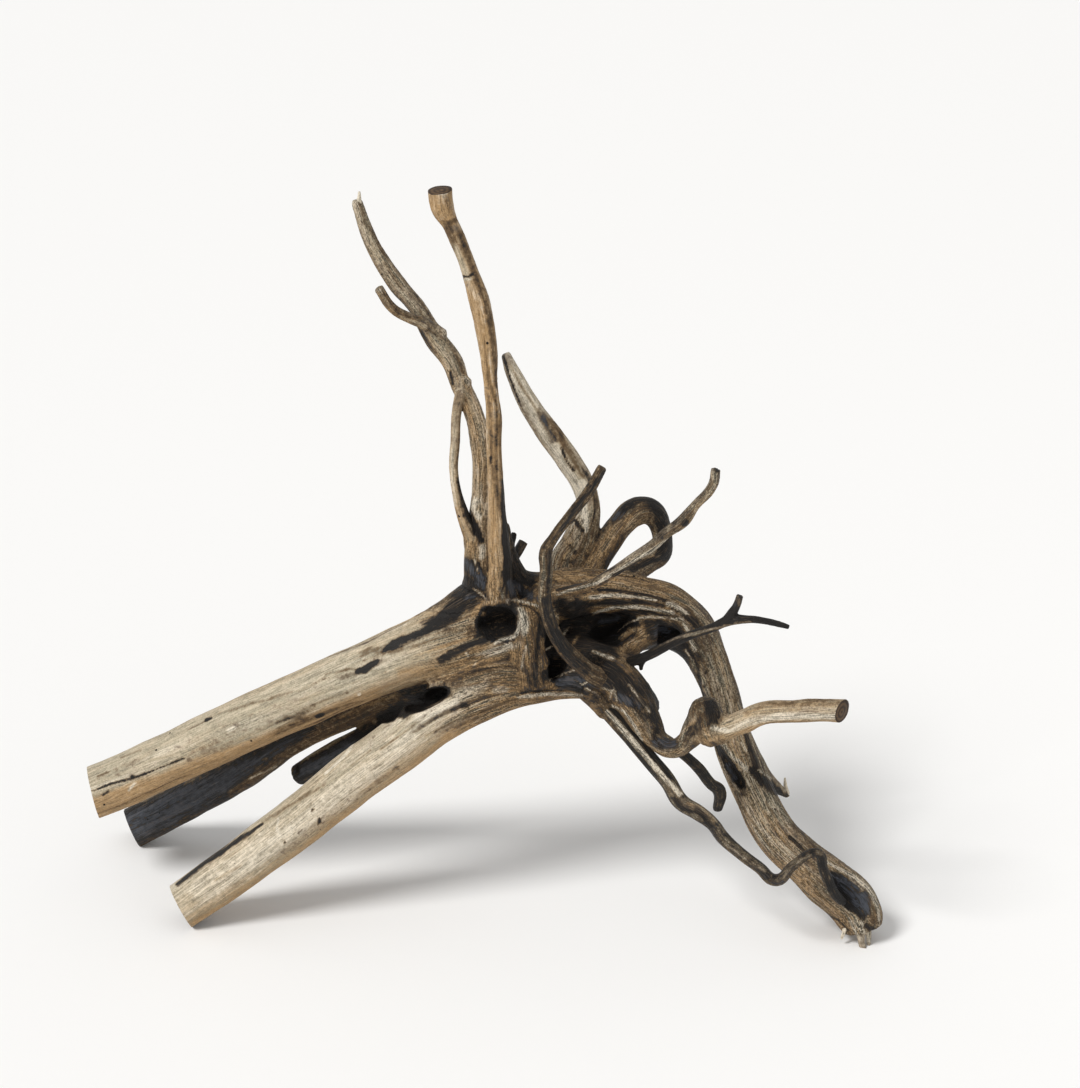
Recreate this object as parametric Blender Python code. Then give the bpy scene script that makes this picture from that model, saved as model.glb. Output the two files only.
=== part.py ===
"""A driftwood root, grown as one piece: three sawn trunks meet in a hub, and roots, prongs and twigs leave it.

Each limb is set out as it is seen from the front, 22 degrees above level: how far across it lies, how high it
looks, how far back it goes and how wide it looks. The sight line through that spot then gives the real place.
"""

import math

import bmesh
import bpy
from mathutils import Matrix, Vector

MM = 0.001

# The eye that the limbs are set out from
VIEW_ELEVATION = math.radians(22)
EYE_DISTANCE = 1.5
AIM_ACROSS = 0.034
AIM_UP = 0.254
AIM_HEIGHT = 0.235

# The point of the setting-out that becomes the model's origin, in mm
ORIGIN = (-5.0, -22.5, -8.6)

# Solid
VOXEL = 0.002
SMOOTH_ROUNDS = 3
SMOOTH_SHARE = 0.5
MERGE_DISTANCE = 0.00001
TRIANGLES = 11000
TUBE_RINGS = 5
TUBE_SIDES = 4
LUMP_ROUNDNESS = 3
GROUND_BLOCK = 1.0
WIDTH_GAIN = 1.3
WOOD_COLOUR = (0.33, 0.22, 0.12, 1.0)
WOOD_ROUGHNESS = 0.75

# Feet: the two lower sawn trunks and the right root stand on small flat spots at this height, in mm
GROUND = -8.6

# Limbs, each a route of (across, up, back, width) in mm
LIMBS = {
    "top trunk": (
        (-251, 96, 6, 32.5),
        (-241, 100, 5, 33),
        (-196, 120, 0, 33),
        (-158, 138, -4, 34),
        (-119, 155, -9, 34.5),
        (-81, 172, -14, 35.5),
        (-42, 188, -19, 38),
        (-14, 197, -24, 39),
        (12, 205, -27, 37.5),
        (31, 211, -26, 31),
        (43, 214, -23, 22.5),
    ),
    "trunk crown": (
        (-28, 201, -15, 27),
        (0, 218, -20, 32.5),
        (28, 221, -18, 27.5),
        (50, 223, -12, 24),
    ),
    "middle trunk": (
        (-228, 73, 60, 25),
        (-216, 79, 57, 25),
        (-177, 99, 44, 25),
        (-146, 116, 34, 25),
        (-125, 128, 28, 23),
        (-103, 139, 21, 20.5),
        (-81, 151, 13, 19.5),
        (-62, 161, 6, 22),
        (-28, 172, -8, 27.5),
        (9, 184, -15, 31),
    ),
    "lower trunk": (
        (-199, 21, -49, 29),
        (-178, 36, -48, 29.5),
        (-158, 50, -46, 30.5),
        (-138, 65, -45, 31),
        (-119, 79, -44, 32),
        (-100, 94, -43, 32.5),
        (-81, 109, -41, 33),
        (-53, 129, -39, 34),
        (-28, 147, -36, 33),
        (-4, 158, -34, 30),
        (24, 166, -32, 24.5),
        (50, 169, -30, 23),
        (72, 168, -30, 21),
    ),
    "trunk web": (
        (-31, 166, -28, 15),
        (-11, 171, -33, 21),
        (9, 176, -36, 25),
        (26, 176, -36, 21),
    ),
    "back web": (
        (19, 191, -12, 25),
        (38, 198, -6, 27.5),
        (54, 202, 0, 27.5),
        (72, 206, 6, 22.5),
    ),
    "pillar": (
        (22, 219, -38, 19),
        (26, 203, -42, 18),
        (28, 188, -42, 20),
        (31, 170, -38, 21),
    ),
    "trunk stub": (
        (-118, 109, 23, 12.5),
        (-100, 119, 18, 15),
        (-78, 130, 12, 15.5),
        (-56, 142, 4, 16),
        (-34, 156, -8, 16),
    ),
    "left prong": (
        (2, 218, -22, 19),
        (-3, 234, -21, 20),
        (-4, 253, -21, 17),
        (-3, 269, -21, 14),
        (-2, 284, -21, 12.5),
        (-2, 306, -20, 11),
        (-4, 324, -18, 12.5),
        (-9, 339, -14, 12),
        (-16, 354, -10, 12),
        (-21, 368, -8, 12),
        (-32, 382, -5, 12),
        (-43, 401, -1, 10.5),
        (-55, 416, 2, 10),
        (-65, 431, 5, 9.5),
        (-73, 446, 8, 8.5),
        (-81, 469, 10, 6),
    ),
    "left twig": (
        (-28, 383, -6, 7.5),
        (-39, 392, -10, 7),
        (-47, 395, -13, 6),
        (-58, 401, -17, 5.5),
        (-67, 414, -20, 5.5),
    ),
    "loop root": (
        (-13, 358, -12, 7.5),
        (-18, 336, -20, 6),
        (-19, 318, -24, 5),
        (-20, 301, -26, 5),
        (-18, 286, -27, 5.5),
        (-14, 272, -26, 7),
        (-10, 262, -25, 9),
        (-6, 249, -23, 10),
    ),
    "tall prong": (
        (8, 211, -42, 16),
        (9, 241, -45, 14),
        (8, 255, -45, 13),
        (7, 272, -45, 11),
        (6, 294, -45, 10),
        (5, 314, -45, 9.5),
        (5, 334, -44, 9.5),
        (3, 356, -43, 9.5),
        (2, 374, -42, 10.5),
        (-1, 392, -41, 12),
        (-5, 409, -39, 12),
        (-9, 422, -38, 10.5),
        (-15, 438, -37, 10),
        (-22, 454, -36, 10.5),
        (-27, 464, -35, 15),
        (-29, 479, -35, 15.5),
    ),
    "dark spine": (
        (11, 266, -28, 5.5),
        (13, 250, -26, 10.5),
        (16, 236, -24, 16),
        (21, 221, -20, 22.5),
    ),
    "thin stub": (
        (13, 250, -14, 5),
        (16, 255, -9, 4),
        (18, 261, -5, 3),
    ),
    "cut stub": (
        (13, 240, -20, 6),
        (18, 246, -12, 5.5),
        (24, 256, 0, 5),
    ),
    "antler": (
        (47, 224, 10, 21),
        (50, 242, 22, 21),
        (56, 252, 27, 20),
        (61, 266, 31, 18),
        (64, 280, 35, 14),
        (61, 291, 38, 14),
        (52, 306, 41, 15),
        (41, 321, 44, 14.5),
        (28, 340, 47, 12.5),
        (18, 359, 49, 9),
        (12, 373, 50, 6),
    ),
    "hooked loop": (
        (62, 228, 12, 16),
        (69, 242, 22, 15),
        (77, 254, 28, 14),
        (85, 266, 34, 15),
        (94, 274, 40, 17.5),
        (103, 274, 43, 15),
        (109, 266, 44, 12.5),
        (111, 256, 42, 12),
        (110, 249, 38, 12.5),
        (102, 243, 30, 12.5),
        (92, 237, 20, 14),
        (84, 226, 6, 15),
    ),
    "front twig": (
        (73, 302, -70, 4.5),
        (64, 286, -74, 5.5),
        (53, 272, -78, 5.5),
        (42, 257, -83, 6),
        (38, 250, -85, 7.5),
        (38, 238, -82, 7.5),
        (37, 221, -76, 7.5),
        (40, 206, -70, 7.5),
        (47, 192, -64, 8),
        (58, 180, -58, 9.5),
        (69, 172, -52, 11),
        (81, 169, -46, 12.5),
    ),
    "middle twig": (
        (144, 301, -95, 5.5),
        (142, 291, -94, 5.5),
        (131, 278, -90, 5.5),
        (124, 269, -88, 7.5),
        (113, 261, -84, 6.5),
        (103, 252, -80, 6),
        (91, 244, -75, 6),
        (76, 234, -68, 6),
        (65, 228, -62, 6),
        (53, 225, -55, 6),
        (44, 224, -48, 7.5),
        (28, 217, -36, 11),
    ),
    "main root": (
        (47, 224, -10, 27.5),
        (72, 225, -4, 25),
        (97, 221, 2, 24),
        (117, 214, 5, 25),
        (131, 199, 6, 25.5),
        (139, 182, 6, 24),
        (144, 169, 2, 22),
        (148, 156, -4, 22),
        (152, 141, -12, 22),
        (157, 125, -22, 24.5),
        (163, 109, -29, 24),
        (170, 94, -35, 24),
        (181, 74, -43, 25),
        (198, 57, -52, 26),
        (214, 43, -59, 31),
        (228, 31, -64, 32),
        (236, 19, -68, 27),
        (241, 8, -71, 19),
    ),
    "arc wall": (
        (53, 194, -4, 37.5),
        (78, 196, 0, 30),
        (97, 200, 3, 24),
        (114, 200, 6, 21),
        (129, 194, 6, 19),
    ),
    "arc lobe": (
        (66, 176, -18, 25),
        (79, 186, -14, 21),
        (93, 196, -9, 17.5),
        (104, 201, -3, 14),
    ),
    "black boss": (
        (38, 181, -26, 27.5),
        (59, 180, -30, 30),
        (79, 175, -32, 25),
    ),
    "front root": (
        (72, 176, -42, 22.5),
        (82, 170, -46, 21),
        (93, 154, -50, 20.5),
        (101, 141, -54, 19),
        (107, 131, -58, 12.5),
        (116, 126, -62, 11),
        (124, 129, -65, 11),
        (130, 139, -68, 11),
        (137, 149, -72, 12.5),
    ),
    "root lump": (
        (94, 162, -42, 15),
        (101, 156, -40, 11),
        (106, 151, -38, 7),
    ),
    "knuckle": (
        (136, 156, -72, 11),
        (138, 149, -74, 15),
        (140, 140, -75, 14),
        (143, 134, -76, 11),
    ),
    "peg": (
        (136, 133, -72, 9),
        (152, 139, -78, 12.5),
        (162, 143, -84, 14),
        (174, 148, -90, 15),
        (191, 149, -98, 14.5),
        (206, 150, -105, 14.5),
        (228, 149, -112, 15.5),
    ),
    "thin root": (
        (64, 164, -40, 10),
        (78, 149, -46, 12.5),
        (90, 135, -52, 11),
        (103, 119, -58, 10),
        (114, 106, -65, 9.5),
        (122, 93, -70, 9.5),
        (133, 86, -75, 9),
        (142, 79, -78, 7.5),
        (148, 71, -81, 7.5),
        (159, 61, -86, 6.5),
        (171, 52, -90, 6.5),
        (182, 44, -92, 7),
        (192, 53, -90, 6),
        (207, 61, -82, 5.5),
        (211, 51, -75, 5.5),
        (217, 37, -74, 5.5),
        (223, 30, -75, 5),
    ),
    "short twig": (
        (112, 131, -58, 6),
        (123, 123, -58, 5.5),
        (133, 114, -56, 6),
        (141, 104, -53, 6),
        (146, 100, -52, 7.5),
        (145, 88, -50, 5.5),
    ),
    "right twig": (
        (76, 179, -34, 10),
        (89, 180, -42, 6),
        (103, 185, -48, 5.5),
        (118, 193, -54, 5.5),
        (130, 198, -58, 5.5),
        (142, 202, -62, 5.5),
        (151, 206, -65, 6),
        (164, 207, -68, 4.5),
        (174, 206, -71, 4),
        (183, 204, -73, 4),
        (190, 202, -75, 3),
    ),
    "twig fork": (
        (148, 204, -65, 5.5),
        (154, 211, -66, 5.5),
        (157, 216, -67, 4.5),
        (159, 222, -67, 4),
    ),
    "side stub": (
        (166, 116, -22, 12.5),
        (177, 106, -18, 10),
        (183, 101, -13, 9),
        (188, 96, -10, 6),
    ),
}

# Sawn ends: a point on the cut and the way the waste lies, both as (across, up, back), and the width of the
# waste block, in mm
SAWN_ENDS = {
    "top trunk": ((-245.5, 100, 5), (-1.0, -0.19, -0.15), 44),
    "middle trunk": ((-222.5, 79, 56), (-1.0, -0.39, -0.13), 44),
    "lower trunk": ((-190.5, 28, -48), (-1.0, -0.5, -0.12), 40),
    "tall prong": ((-30, 478, -35), (-0.1, 1.0, 0.25), 22),
    "peg": ((227, 149, -112), (1.0, 0.0, -0.35), 24),
    "cut stub": ((24, 255, 0), (0.6, 1.0, 0.2), 12),
}

# Hollows: the centre as (across, up, back), the half lengths along, across and into the wood, and the turn in
# the picture from level, in degrees
HOLLOWS = {
    "knot hole": ((8, 204, -47), (14, 12, 16), 0),
    "left slit": ((38, 196, -38), (6, 13, 10), 10),
    "right slit": ((43, 178, -40), (8, 8, 11), 20),
    "crotch of the lower trunk": ((-36, 157, -36), (16, 5.5, 20), 25),
    "crotch of the middle trunk": ((-58, 148, -26), (8, 6, 18), 25),
    "left hollow of the arc": ((80, 199, -14), (16, 10, 14), 15),
    "right hollow of the arc": ((110, 199, -4), (13, 7, 10), -5),
    "end of the main root": ((228, 35, -84), (22, 8, 14), -50),
    "slot of the main root": ((153, 114, -38), (17, 3, 9), -57),
}


def on_sight_line(across, up, back):
    """The world point that is seen there and lies that far back; all in mm, and the point in metres."""
    right = across * MM - AIM_ACROSS
    rise = up * MM - AIM_UP
    depth = EYE_DISTANCE * math.cos(VIEW_ELEVATION)
    reach = (back * MM + depth) / (depth + rise * math.sin(VIEW_ELEVATION))
    eye_height = EYE_DISTANCE * math.sin(VIEW_ELEVATION)
    height = AIM_HEIGHT + eye_height + reach * (rise * math.cos(VIEW_ELEVATION) - eye_height)
    return Vector((AIM_ACROSS + reach * right, back * MM, height)), reach


def clear_scene():
    for leftover in list(bpy.data.objects):
        bpy.data.objects.remove(leftover)


def make_object(name, mesh):
    made = bpy.data.objects.new(name, mesh)
    bpy.context.scene.collection.objects.link(made)
    return made


def make_limb(name, route):
    """A round tube along the route, as a closed mesh."""
    curve = bpy.data.curves.new(name, "CURVE")
    curve.dimensions = "3D"
    curve.resolution_u = TUBE_RINGS
    curve.bevel_depth = 1.0
    curve.bevel_resolution = TUBE_SIDES
    curve.use_fill_caps = True
    spline = curve.splines.new("BEZIER")
    spline.bezier_points.add(len(route) - 1)
    for knot, (across, up, back, width) in zip(spline.bezier_points, route):
        knot.co, reach = on_sight_line(across, up, back)
        knot.radius = (width + WIDTH_GAIN) * MM * reach / 2
        knot.handle_left_type = "AUTO"
        knot.handle_right_type = "AUTO"
    tube = make_object(name, curve)
    mesh = bpy.data.meshes.new_from_object(tube.evaluated_get(bpy.context.evaluated_depsgraph_get()))
    bpy.data.objects.remove(tube)
    return mesh


def join_limbs():
    joined = bmesh.new()
    for name, route in LIMBS.items():
        limb = make_limb(name, route)
        joined.from_mesh(limb)
        bpy.data.meshes.remove(limb)
    bmesh.ops.remove_doubles(joined, verts=joined.verts, dist=MERGE_DISTANCE)
    bmesh.ops.recalc_face_normals(joined, faces=joined.faces)
    mesh = bpy.data.meshes.new("driftwood_root")
    joined.to_mesh(mesh)
    joined.free()
    return mesh


def make_cutter(name, cutters):
    """One hidden object that holds every cutting solid."""
    mesh = bpy.data.meshes.new(name)
    cutters.to_mesh(mesh)
    cutters.free()
    cutter = make_object(name, mesh)
    cutter.hide_render = True
    cutter.display_type = "WIRE"
    return cutter


def add_skin(lumps):
    """Joins overlapping lumps under one skin."""
    skin = lumps.modifiers.new("one skin", "REMESH")
    skin.mode = "VOXEL"
    skin.voxel_size = VOXEL


def make_saw():
    """A block of waste beyond each sawn end."""
    blocks = bmesh.new()
    for (across, up, back), (right, rise, away), width in SAWN_ENDS.values():
        place, _ = on_sight_line(across, up, back)
        toward = Vector((right, rise * math.sin(VIEW_ELEVATION) + away, rise * math.cos(VIEW_ELEVATION)))
        toward.normalize()
        turn = toward.to_track_quat("Z", "Y").to_matrix().to_4x4()
        centre = place + toward * (width * MM / 2)
        bmesh.ops.create_cube(blocks, size=width * MM, matrix=Matrix.Translation(centre) @ turn)
    return make_cutter("saw", blocks)


def make_gouge():
    """A rounded lump for each hollow, laid square to the line of sight."""
    lumps = bmesh.new()
    facing = Matrix.Rotation(math.radians(90) - VIEW_ELEVATION, 4, "X")
    for (across, up, back), (long, short, deep), turn in HOLLOWS.values():
        place, _ = on_sight_line(across, up, back)
        shape = Matrix.Diagonal((long * MM, short * MM, deep * MM, 1.0))
        spin = Matrix.Rotation(math.radians(turn), 4, "Z")
        lump = Matrix.Translation(place) @ facing @ spin @ shape
        bmesh.ops.create_icosphere(lumps, subdivisions=LUMP_ROUNDNESS, radius=1.0, matrix=lump)
    gouge = make_cutter("gouge", lumps)
    add_skin(gouge)
    return gouge


def make_ground():
    floor = bmesh.new()
    below = Matrix.Translation((0, 0, GROUND * MM - GROUND_BLOCK / 2))
    bmesh.ops.create_cube(floor, size=GROUND_BLOCK, matrix=below)
    return make_cutter("ground", floor)


def make_wood():
    wood = bpy.data.materials.new("weathered driftwood")
    wood.use_nodes = True
    surface = wood.node_tree.nodes["Principled BSDF"]
    surface.inputs["Base Color"].default_value = WOOD_COLOUR
    surface.inputs["Roughness"].default_value = WOOD_ROUGHNESS
    surface.inputs["Metallic"].default_value = 0.0
    return wood


def add_cut(root, cutter):
    cut = root.modifiers.new("cut by " + cutter.name, "BOOLEAN")
    cut.operation = "DIFFERENCE"
    cut.solver = "EXACT"
    cut.object = cutter


def apply_modifiers(root):
    """Replaces the mesh by what its modifiers make of it."""
    mesh = bpy.data.meshes.new_from_object(root.evaluated_get(bpy.context.evaluated_depsgraph_get()))
    root.modifiers.clear()
    root.data = mesh


def make_root():
    root = make_object("driftwood_root", join_limbs())
    add_skin(root)
    add_cut(root, make_gouge())
    apply_modifiers(root)
    add_skin(root)
    flow = root.modifiers.new("crotches flow", "SMOOTH")
    flow.factor = SMOOTH_SHARE
    flow.iterations = SMOOTH_ROUNDS
    apply_modifiers(root)
    triangles = sum(len(face.vertices) - 2 for face in root.data.polygons)
    thin = root.modifiers.new("fewer faces", "DECIMATE")
    thin.ratio = TRIANGLES / triangles
    add_cut(root, make_saw())
    add_cut(root, make_ground())
    apply_modifiers(root)
    root.data.transform(Matrix.Translation(Vector(ORIGIN) * -MM))
    root.data.shade_smooth()
    root.data.materials.clear()
    root.data.materials.append(make_wood())
    return root


clear_scene()
make_root()
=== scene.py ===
"""The looks of the driftwood root: fine relief, stains, cracks and splinters, the light and the camera."""

import math

import bmesh
import bpy
import numpy as np
from mathutils import Matrix, Vector


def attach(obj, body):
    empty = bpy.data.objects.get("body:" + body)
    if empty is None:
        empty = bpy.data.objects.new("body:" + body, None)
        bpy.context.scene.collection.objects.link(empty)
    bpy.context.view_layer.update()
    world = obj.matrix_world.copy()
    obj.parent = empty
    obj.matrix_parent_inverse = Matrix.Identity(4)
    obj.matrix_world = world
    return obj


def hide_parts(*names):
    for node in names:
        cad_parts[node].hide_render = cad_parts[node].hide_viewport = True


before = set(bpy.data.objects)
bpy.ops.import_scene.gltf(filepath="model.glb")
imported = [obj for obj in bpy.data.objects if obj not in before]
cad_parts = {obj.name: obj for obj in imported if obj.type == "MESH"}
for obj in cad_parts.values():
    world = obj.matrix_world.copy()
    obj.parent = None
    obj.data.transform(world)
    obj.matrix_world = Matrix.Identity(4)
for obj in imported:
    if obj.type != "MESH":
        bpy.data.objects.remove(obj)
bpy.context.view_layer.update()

MM = 0.001

# The eye that the limbs are set out from, as in the solid
VIEW_ELEVATION = math.radians(22)
EYE_DISTANCE = 1.5
AIM_ACROSS = 0.034
AIM_UP = 0.254
AIM_HEIGHT = 0.235
ORIGIN = (-5.0, -22.5, -8.6)

# Mesh size of the thick wood and of the thin twigs, and what counts as the same place, in metres
BODY_VOXEL = 0.0012
TWIG_VOXEL = 0.0008
SAME_SPOT = 0.00001
SAW_SLACK = 0.00008
PLANE_SLACK = 0.0000001

# Rounds of smoothing and how far each goes, how fine tubes and gouges are, the width in mm that smoothing
# takes off again, and the angle from which an edge is sharp
BODY_FLOW = 6
TWIG_FLOW = 5
FLOW_SHARE = 0.5
TUBE_RINGS = 6
TUBE_SIDES = 6
GOUGE_FINENESS = 3
WIDTH_GAIN = 0.6
CREASE = math.radians(55)

# How limbs grow together: the fillet between them in metres, and the width in mm over which looks blend
WELD = 0.0035
MERGE_WIDTH = 6

# Reading the grain: steps between two points of a route, which way the first side looks, how far round a limb
# is read, the gap of all that lies beyond, and the space between two limbs' noises, in metres
ROUTE_STEPS = 10
SIDE_HINT = (0.31, 0.12, 0.94)
REACH_OF_LIMB = 0.02
FAR = 0.2
LIMB_SPACING = 1.7

# How much a twig's foot is wider at its start, in its middle and where it dives into the twig
FOOT_FLARE = (1.35, 1.08, 0.7)

# The thick wood is made in closed pieces that meet at hidden planes: a point on each, and the way outwards
BODY_PIECES = {
    "driftwood_trunks": (((-0.095, 0, 0), (1, 0, 0)),),
    "driftwood_prongs": (((-0.095, 0, 0), (-1, 0, 0)), ((0, 0, 0.262), (0, 0, -1))),
    "driftwood_main_root": (((0, 0, 0.065), (-1, 0, 1)),),
    "driftwood_hub": (((-0.095, 0, 0), (-1, 0, 0)), ((0, 0, 0.262), (0, 0, 1)), ((0, 0, 0.065), (1, 0, -1))),
}

# Twigs that leave the thick wood with a flared foot, at the first or last point of their route
TWIG_FEET = {
    "left twig": ("first",),
    "loop root": ("first", "last"),
    "thin stub": ("first",),
    "cut stub": ("first",),
    "front twig": ("last",),
    "middle twig": ("last",),
    "thin root": ("first", "last"),
    "short twig": ("first",),
    "right twig": ("first",),
}

# Limbs, each a route of (across, up, back, width) in mm
LIMBS = {
    "top trunk": (
        (-251, 96, 6, 32.5), (-241, 100, 5, 33), (-196, 120, 0, 33), (-158, 138, -4, 34),
        (-119, 155, -9, 34.5), (-81, 172, -14, 35.5), (-42, 188, -19, 38), (-14, 197, -24, 39),
        (12, 205, -27, 37.5), (31, 211, -26, 31), (43, 214, -23, 22.5),
    ),
    "trunk crown": (
        (-28, 201, -15, 27), (0, 218, -20, 32.5), (28, 221, -18, 27.5), (50, 223, -12, 24),
    ),
    "middle trunk": (
        (-228, 73, 60, 25), (-216, 79, 57, 25), (-177, 99, 44, 25), (-146, 118, 34, 25), (-125, 132, 28, 22),
        (-103, 143, 21, 20), (-81, 152, 13, 19.5), (-62, 161, 6, 22), (-28, 172, -8, 27.5), (9, 184, -15, 31),
    ),
    "lower trunk": (
        (-199, 21, -49, 29), (-178, 36, -48, 29.5), (-158, 50, -46, 30.5), (-138, 65, -45, 31),
        (-119, 79, -44, 32), (-100, 94, -43, 32.5), (-81, 109, -41, 33), (-53, 129, -39, 34),
        (-28, 147, -36, 33), (-4, 158, -34, 30), (24, 166, -32, 24.5), (50, 169, -30, 23), (72, 168, -30, 21),
    ),
    "trunk web": (
        (-31, 166, -28, 15), (-11, 171, -33, 21), (9, 176, -36, 25), (26, 176, -36, 21),
    ),
    "back web": (
        (19, 191, -12, 25), (38, 198, -6, 27.5), (54, 202, 0, 27.5), (72, 206, 6, 22.5),
    ),
    "pillar": (
        (22, 219, -38, 19), (26, 203, -42, 18), (28, 188, -42, 20), (31, 170, -38, 21),
    ),
    "trunk stub": (
        (-118, 109, 23, 12.5), (-100, 119, 18, 15), (-78, 130, 12, 15.5), (-56, 142, 4, 16),
        (-34, 156, -8, 16),
    ),
    "left prong": (
        (2, 218, -22, 19), (-3, 234, -21, 20), (-4, 253, -21, 17), (-3, 269, -21, 14), (-2, 284, -21, 12.5),
        (-2, 306, -20, 11), (-4, 324, -18, 12.5), (-9, 339, -14, 12), (-16, 354, -10, 12), (-21, 368, -8, 12),
        (-32, 382, -5, 12), (-43, 401, -1, 10.5), (-55, 416, 2, 10), (-65, 431, 5, 9.5), (-73, 446, 8, 8.5),
        (-81, 469, 10, 6),
    ),
    "left twig": (
        (-28, 383, -6, 7.5), (-39, 392, -10, 7), (-47, 395, -13, 6), (-58, 401, -17, 5.5),
        (-67, 414, -20, 5.5),
    ),
    "loop root": (
        (-13, 358, -12, 7.5), (-18, 336, -20, 6), (-19, 318, -24, 5), (-20, 301, -26, 5),
        (-18, 286, -27, 5.5), (-14, 272, -26, 7), (-10, 262, -25, 9), (-6, 249, -23, 10),
    ),
    "tall prong": (
        (8, 211, -42, 16), (9, 241, -45, 14), (8, 255, -45, 13), (7, 272, -45, 11), (6, 294, -45, 10),
        (5, 314, -45, 9.5), (5, 334, -44, 9.5), (3, 356, -43, 9.5), (2, 374, -42, 10.5), (-1, 392, -41, 12),
        (-5, 409, -39, 12), (-9, 422, -38, 10.5), (-15, 438, -37, 10), (-22, 454, -36, 10.5),
        (-27, 464, -35, 15), (-29, 479, -35, 15.5),
    ),
    "dark spine": (
        (11, 266, -28, 5.5), (13, 250, -26, 10.5), (16, 236, -24, 16), (21, 221, -20, 22.5),
    ),
    "thin stub": (
        (13, 250, -14, 5), (16, 255, -9, 4), (18, 261, -5, 3),
    ),
    "cut stub": (
        (13, 240, -20, 6), (18, 246, -12, 5.5), (24, 256, 0, 5),
    ),
    "antler": (
        (47, 224, 10, 21), (50, 242, 22, 21), (56, 252, 27, 20), (61, 266, 31, 18), (64, 280, 35, 14),
        (61, 291, 38, 14), (52, 306, 41, 15), (41, 321, 44, 14.5), (28, 340, 47, 12.5), (18, 359, 49, 9),
        (12, 373, 50, 6),
    ),
    "hooked loop": (
        (62, 228, 12, 16), (69, 242, 22, 15), (77, 254, 28, 14), (85, 266, 34, 15), (94, 274, 40, 17.5),
        (103, 274, 43, 15), (109, 266, 44, 12.5), (111, 256, 42, 12), (110, 249, 38, 12.5),
        (102, 243, 30, 12.5), (92, 237, 20, 14), (84, 226, 6, 15),
    ),
    "front twig": (
        (73, 302, -70, 4.5), (64, 286, -74, 5.5), (53, 272, -78, 5.5), (42, 257, -83, 6), (38, 250, -85, 7.5),
        (38, 238, -82, 7.5), (37, 221, -76, 7.5), (40, 206, -70, 7.5), (47, 192, -64, 8), (58, 180, -58, 9.5),
        (69, 172, -52, 11), (81, 169, -46, 12.5),
    ),
    "middle twig": (
        (144, 301, -95, 5.5), (142, 291, -94, 5.5), (131, 278, -90, 5.5), (124, 269, -88, 7.5),
        (113, 261, -84, 6.5), (103, 252, -80, 6), (91, 244, -75, 6), (76, 234, -68, 6), (65, 228, -62, 6),
        (53, 225, -55, 6), (44, 224, -48, 7.5), (28, 217, -36, 11),
    ),
    "main root": (
        (47, 224, -10, 27.5), (72, 225, -4, 25), (97, 221, 2, 24), (117, 214, 5, 25), (131, 199, 6, 25.5),
        (139, 182, 6, 24), (144, 169, 2, 22), (148, 156, -4, 22), (152, 141, -12, 22), (157, 125, -22, 24.5),
        (163, 109, -29, 24), (170, 94, -35, 24), (181, 74, -43, 25), (198, 57, -52, 26), (214, 43, -59, 31),
        (228, 31, -64, 31), (234, 21, -67, 29), (236, 14, -69, 24),
    ),
    "arc wall": (
        (53, 194, -4, 37.5), (78, 196, 0, 30), (97, 200, 3, 24), (114, 200, 6, 21), (129, 194, 6, 19),
    ),
    "arc lobe": (
        (66, 176, -18, 25), (79, 186, -14, 21), (93, 196, -9, 17.5), (104, 201, -3, 14),
    ),
    "black boss": (
        (38, 181, -26, 27.5), (59, 180, -30, 30), (79, 175, -32, 25),
    ),
    "front root": (
        (72, 176, -42, 22.5), (82, 170, -46, 21), (93, 154, -50, 20.5), (101, 141, -54, 19),
        (107, 131, -58, 12.5), (116, 126, -62, 11), (124, 129, -65, 11), (130, 139, -68, 11),
        (137, 149, -72, 12.5),
    ),
    "root lump": (
        (94, 162, -42, 15), (101, 156, -40, 11), (106, 151, -38, 7),
    ),
    "knuckle": (
        (136, 156, -72, 11), (138, 149, -74, 15), (140, 140, -75, 14), (143, 134, -76, 11),
    ),
    "peg": (
        (136, 133, -72, 9), (152, 139, -78, 12.5), (162, 143, -84, 14), (174, 148, -90, 15),
        (191, 149, -98, 14.5), (206, 150, -105, 14.5), (228, 149, -112, 15.5),
    ),
    "thin root": (
        (64, 164, -40, 10), (78, 149, -46, 12.5), (90, 135, -52, 11), (103, 119, -58, 10),
        (114, 106, -65, 9.5), (122, 93, -70, 9.5), (133, 86, -75, 9), (142, 79, -78, 7.5),
        (148, 71, -81, 7.5), (159, 61, -86, 6.5), (171, 52, -90, 6.5), (182, 44, -92, 7), (192, 53, -90, 6),
        (207, 61, -88, 5.5), (211, 51, -86, 5.5), (217, 37, -86, 5.5), (223, 30, -80, 5),
    ),
    "short twig": (
        (112, 131, -58, 6), (123, 123, -58, 5.5), (133, 114, -56, 6), (141, 104, -53, 6),
        (146, 100, -52, 7.5), (145, 88, -50, 5.5),
    ),
    "right twig": (
        (76, 179, -34, 10), (89, 180, -42, 6), (103, 185, -48, 5.5), (118, 193, -54, 5.5),
        (130, 198, -58, 5.5), (142, 202, -62, 5.5), (151, 206, -65, 6), (164, 207, -68, 4.5),
        (174, 206, -71, 4), (183, 204, -73, 4), (190, 202, -75, 3),
    ),
    "twig fork": (
        (148, 204, -65, 5.5), (154, 211, -66, 5.5), (157, 216, -67, 4.5), (159, 222, -67, 4),
    ),
    "side stub": (
        (166, 116, -22, 12.5), (177, 106, -18, 9), (183, 101, -13, 5.5), (189, 96, -10, 2.5),
    ),
}

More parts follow.
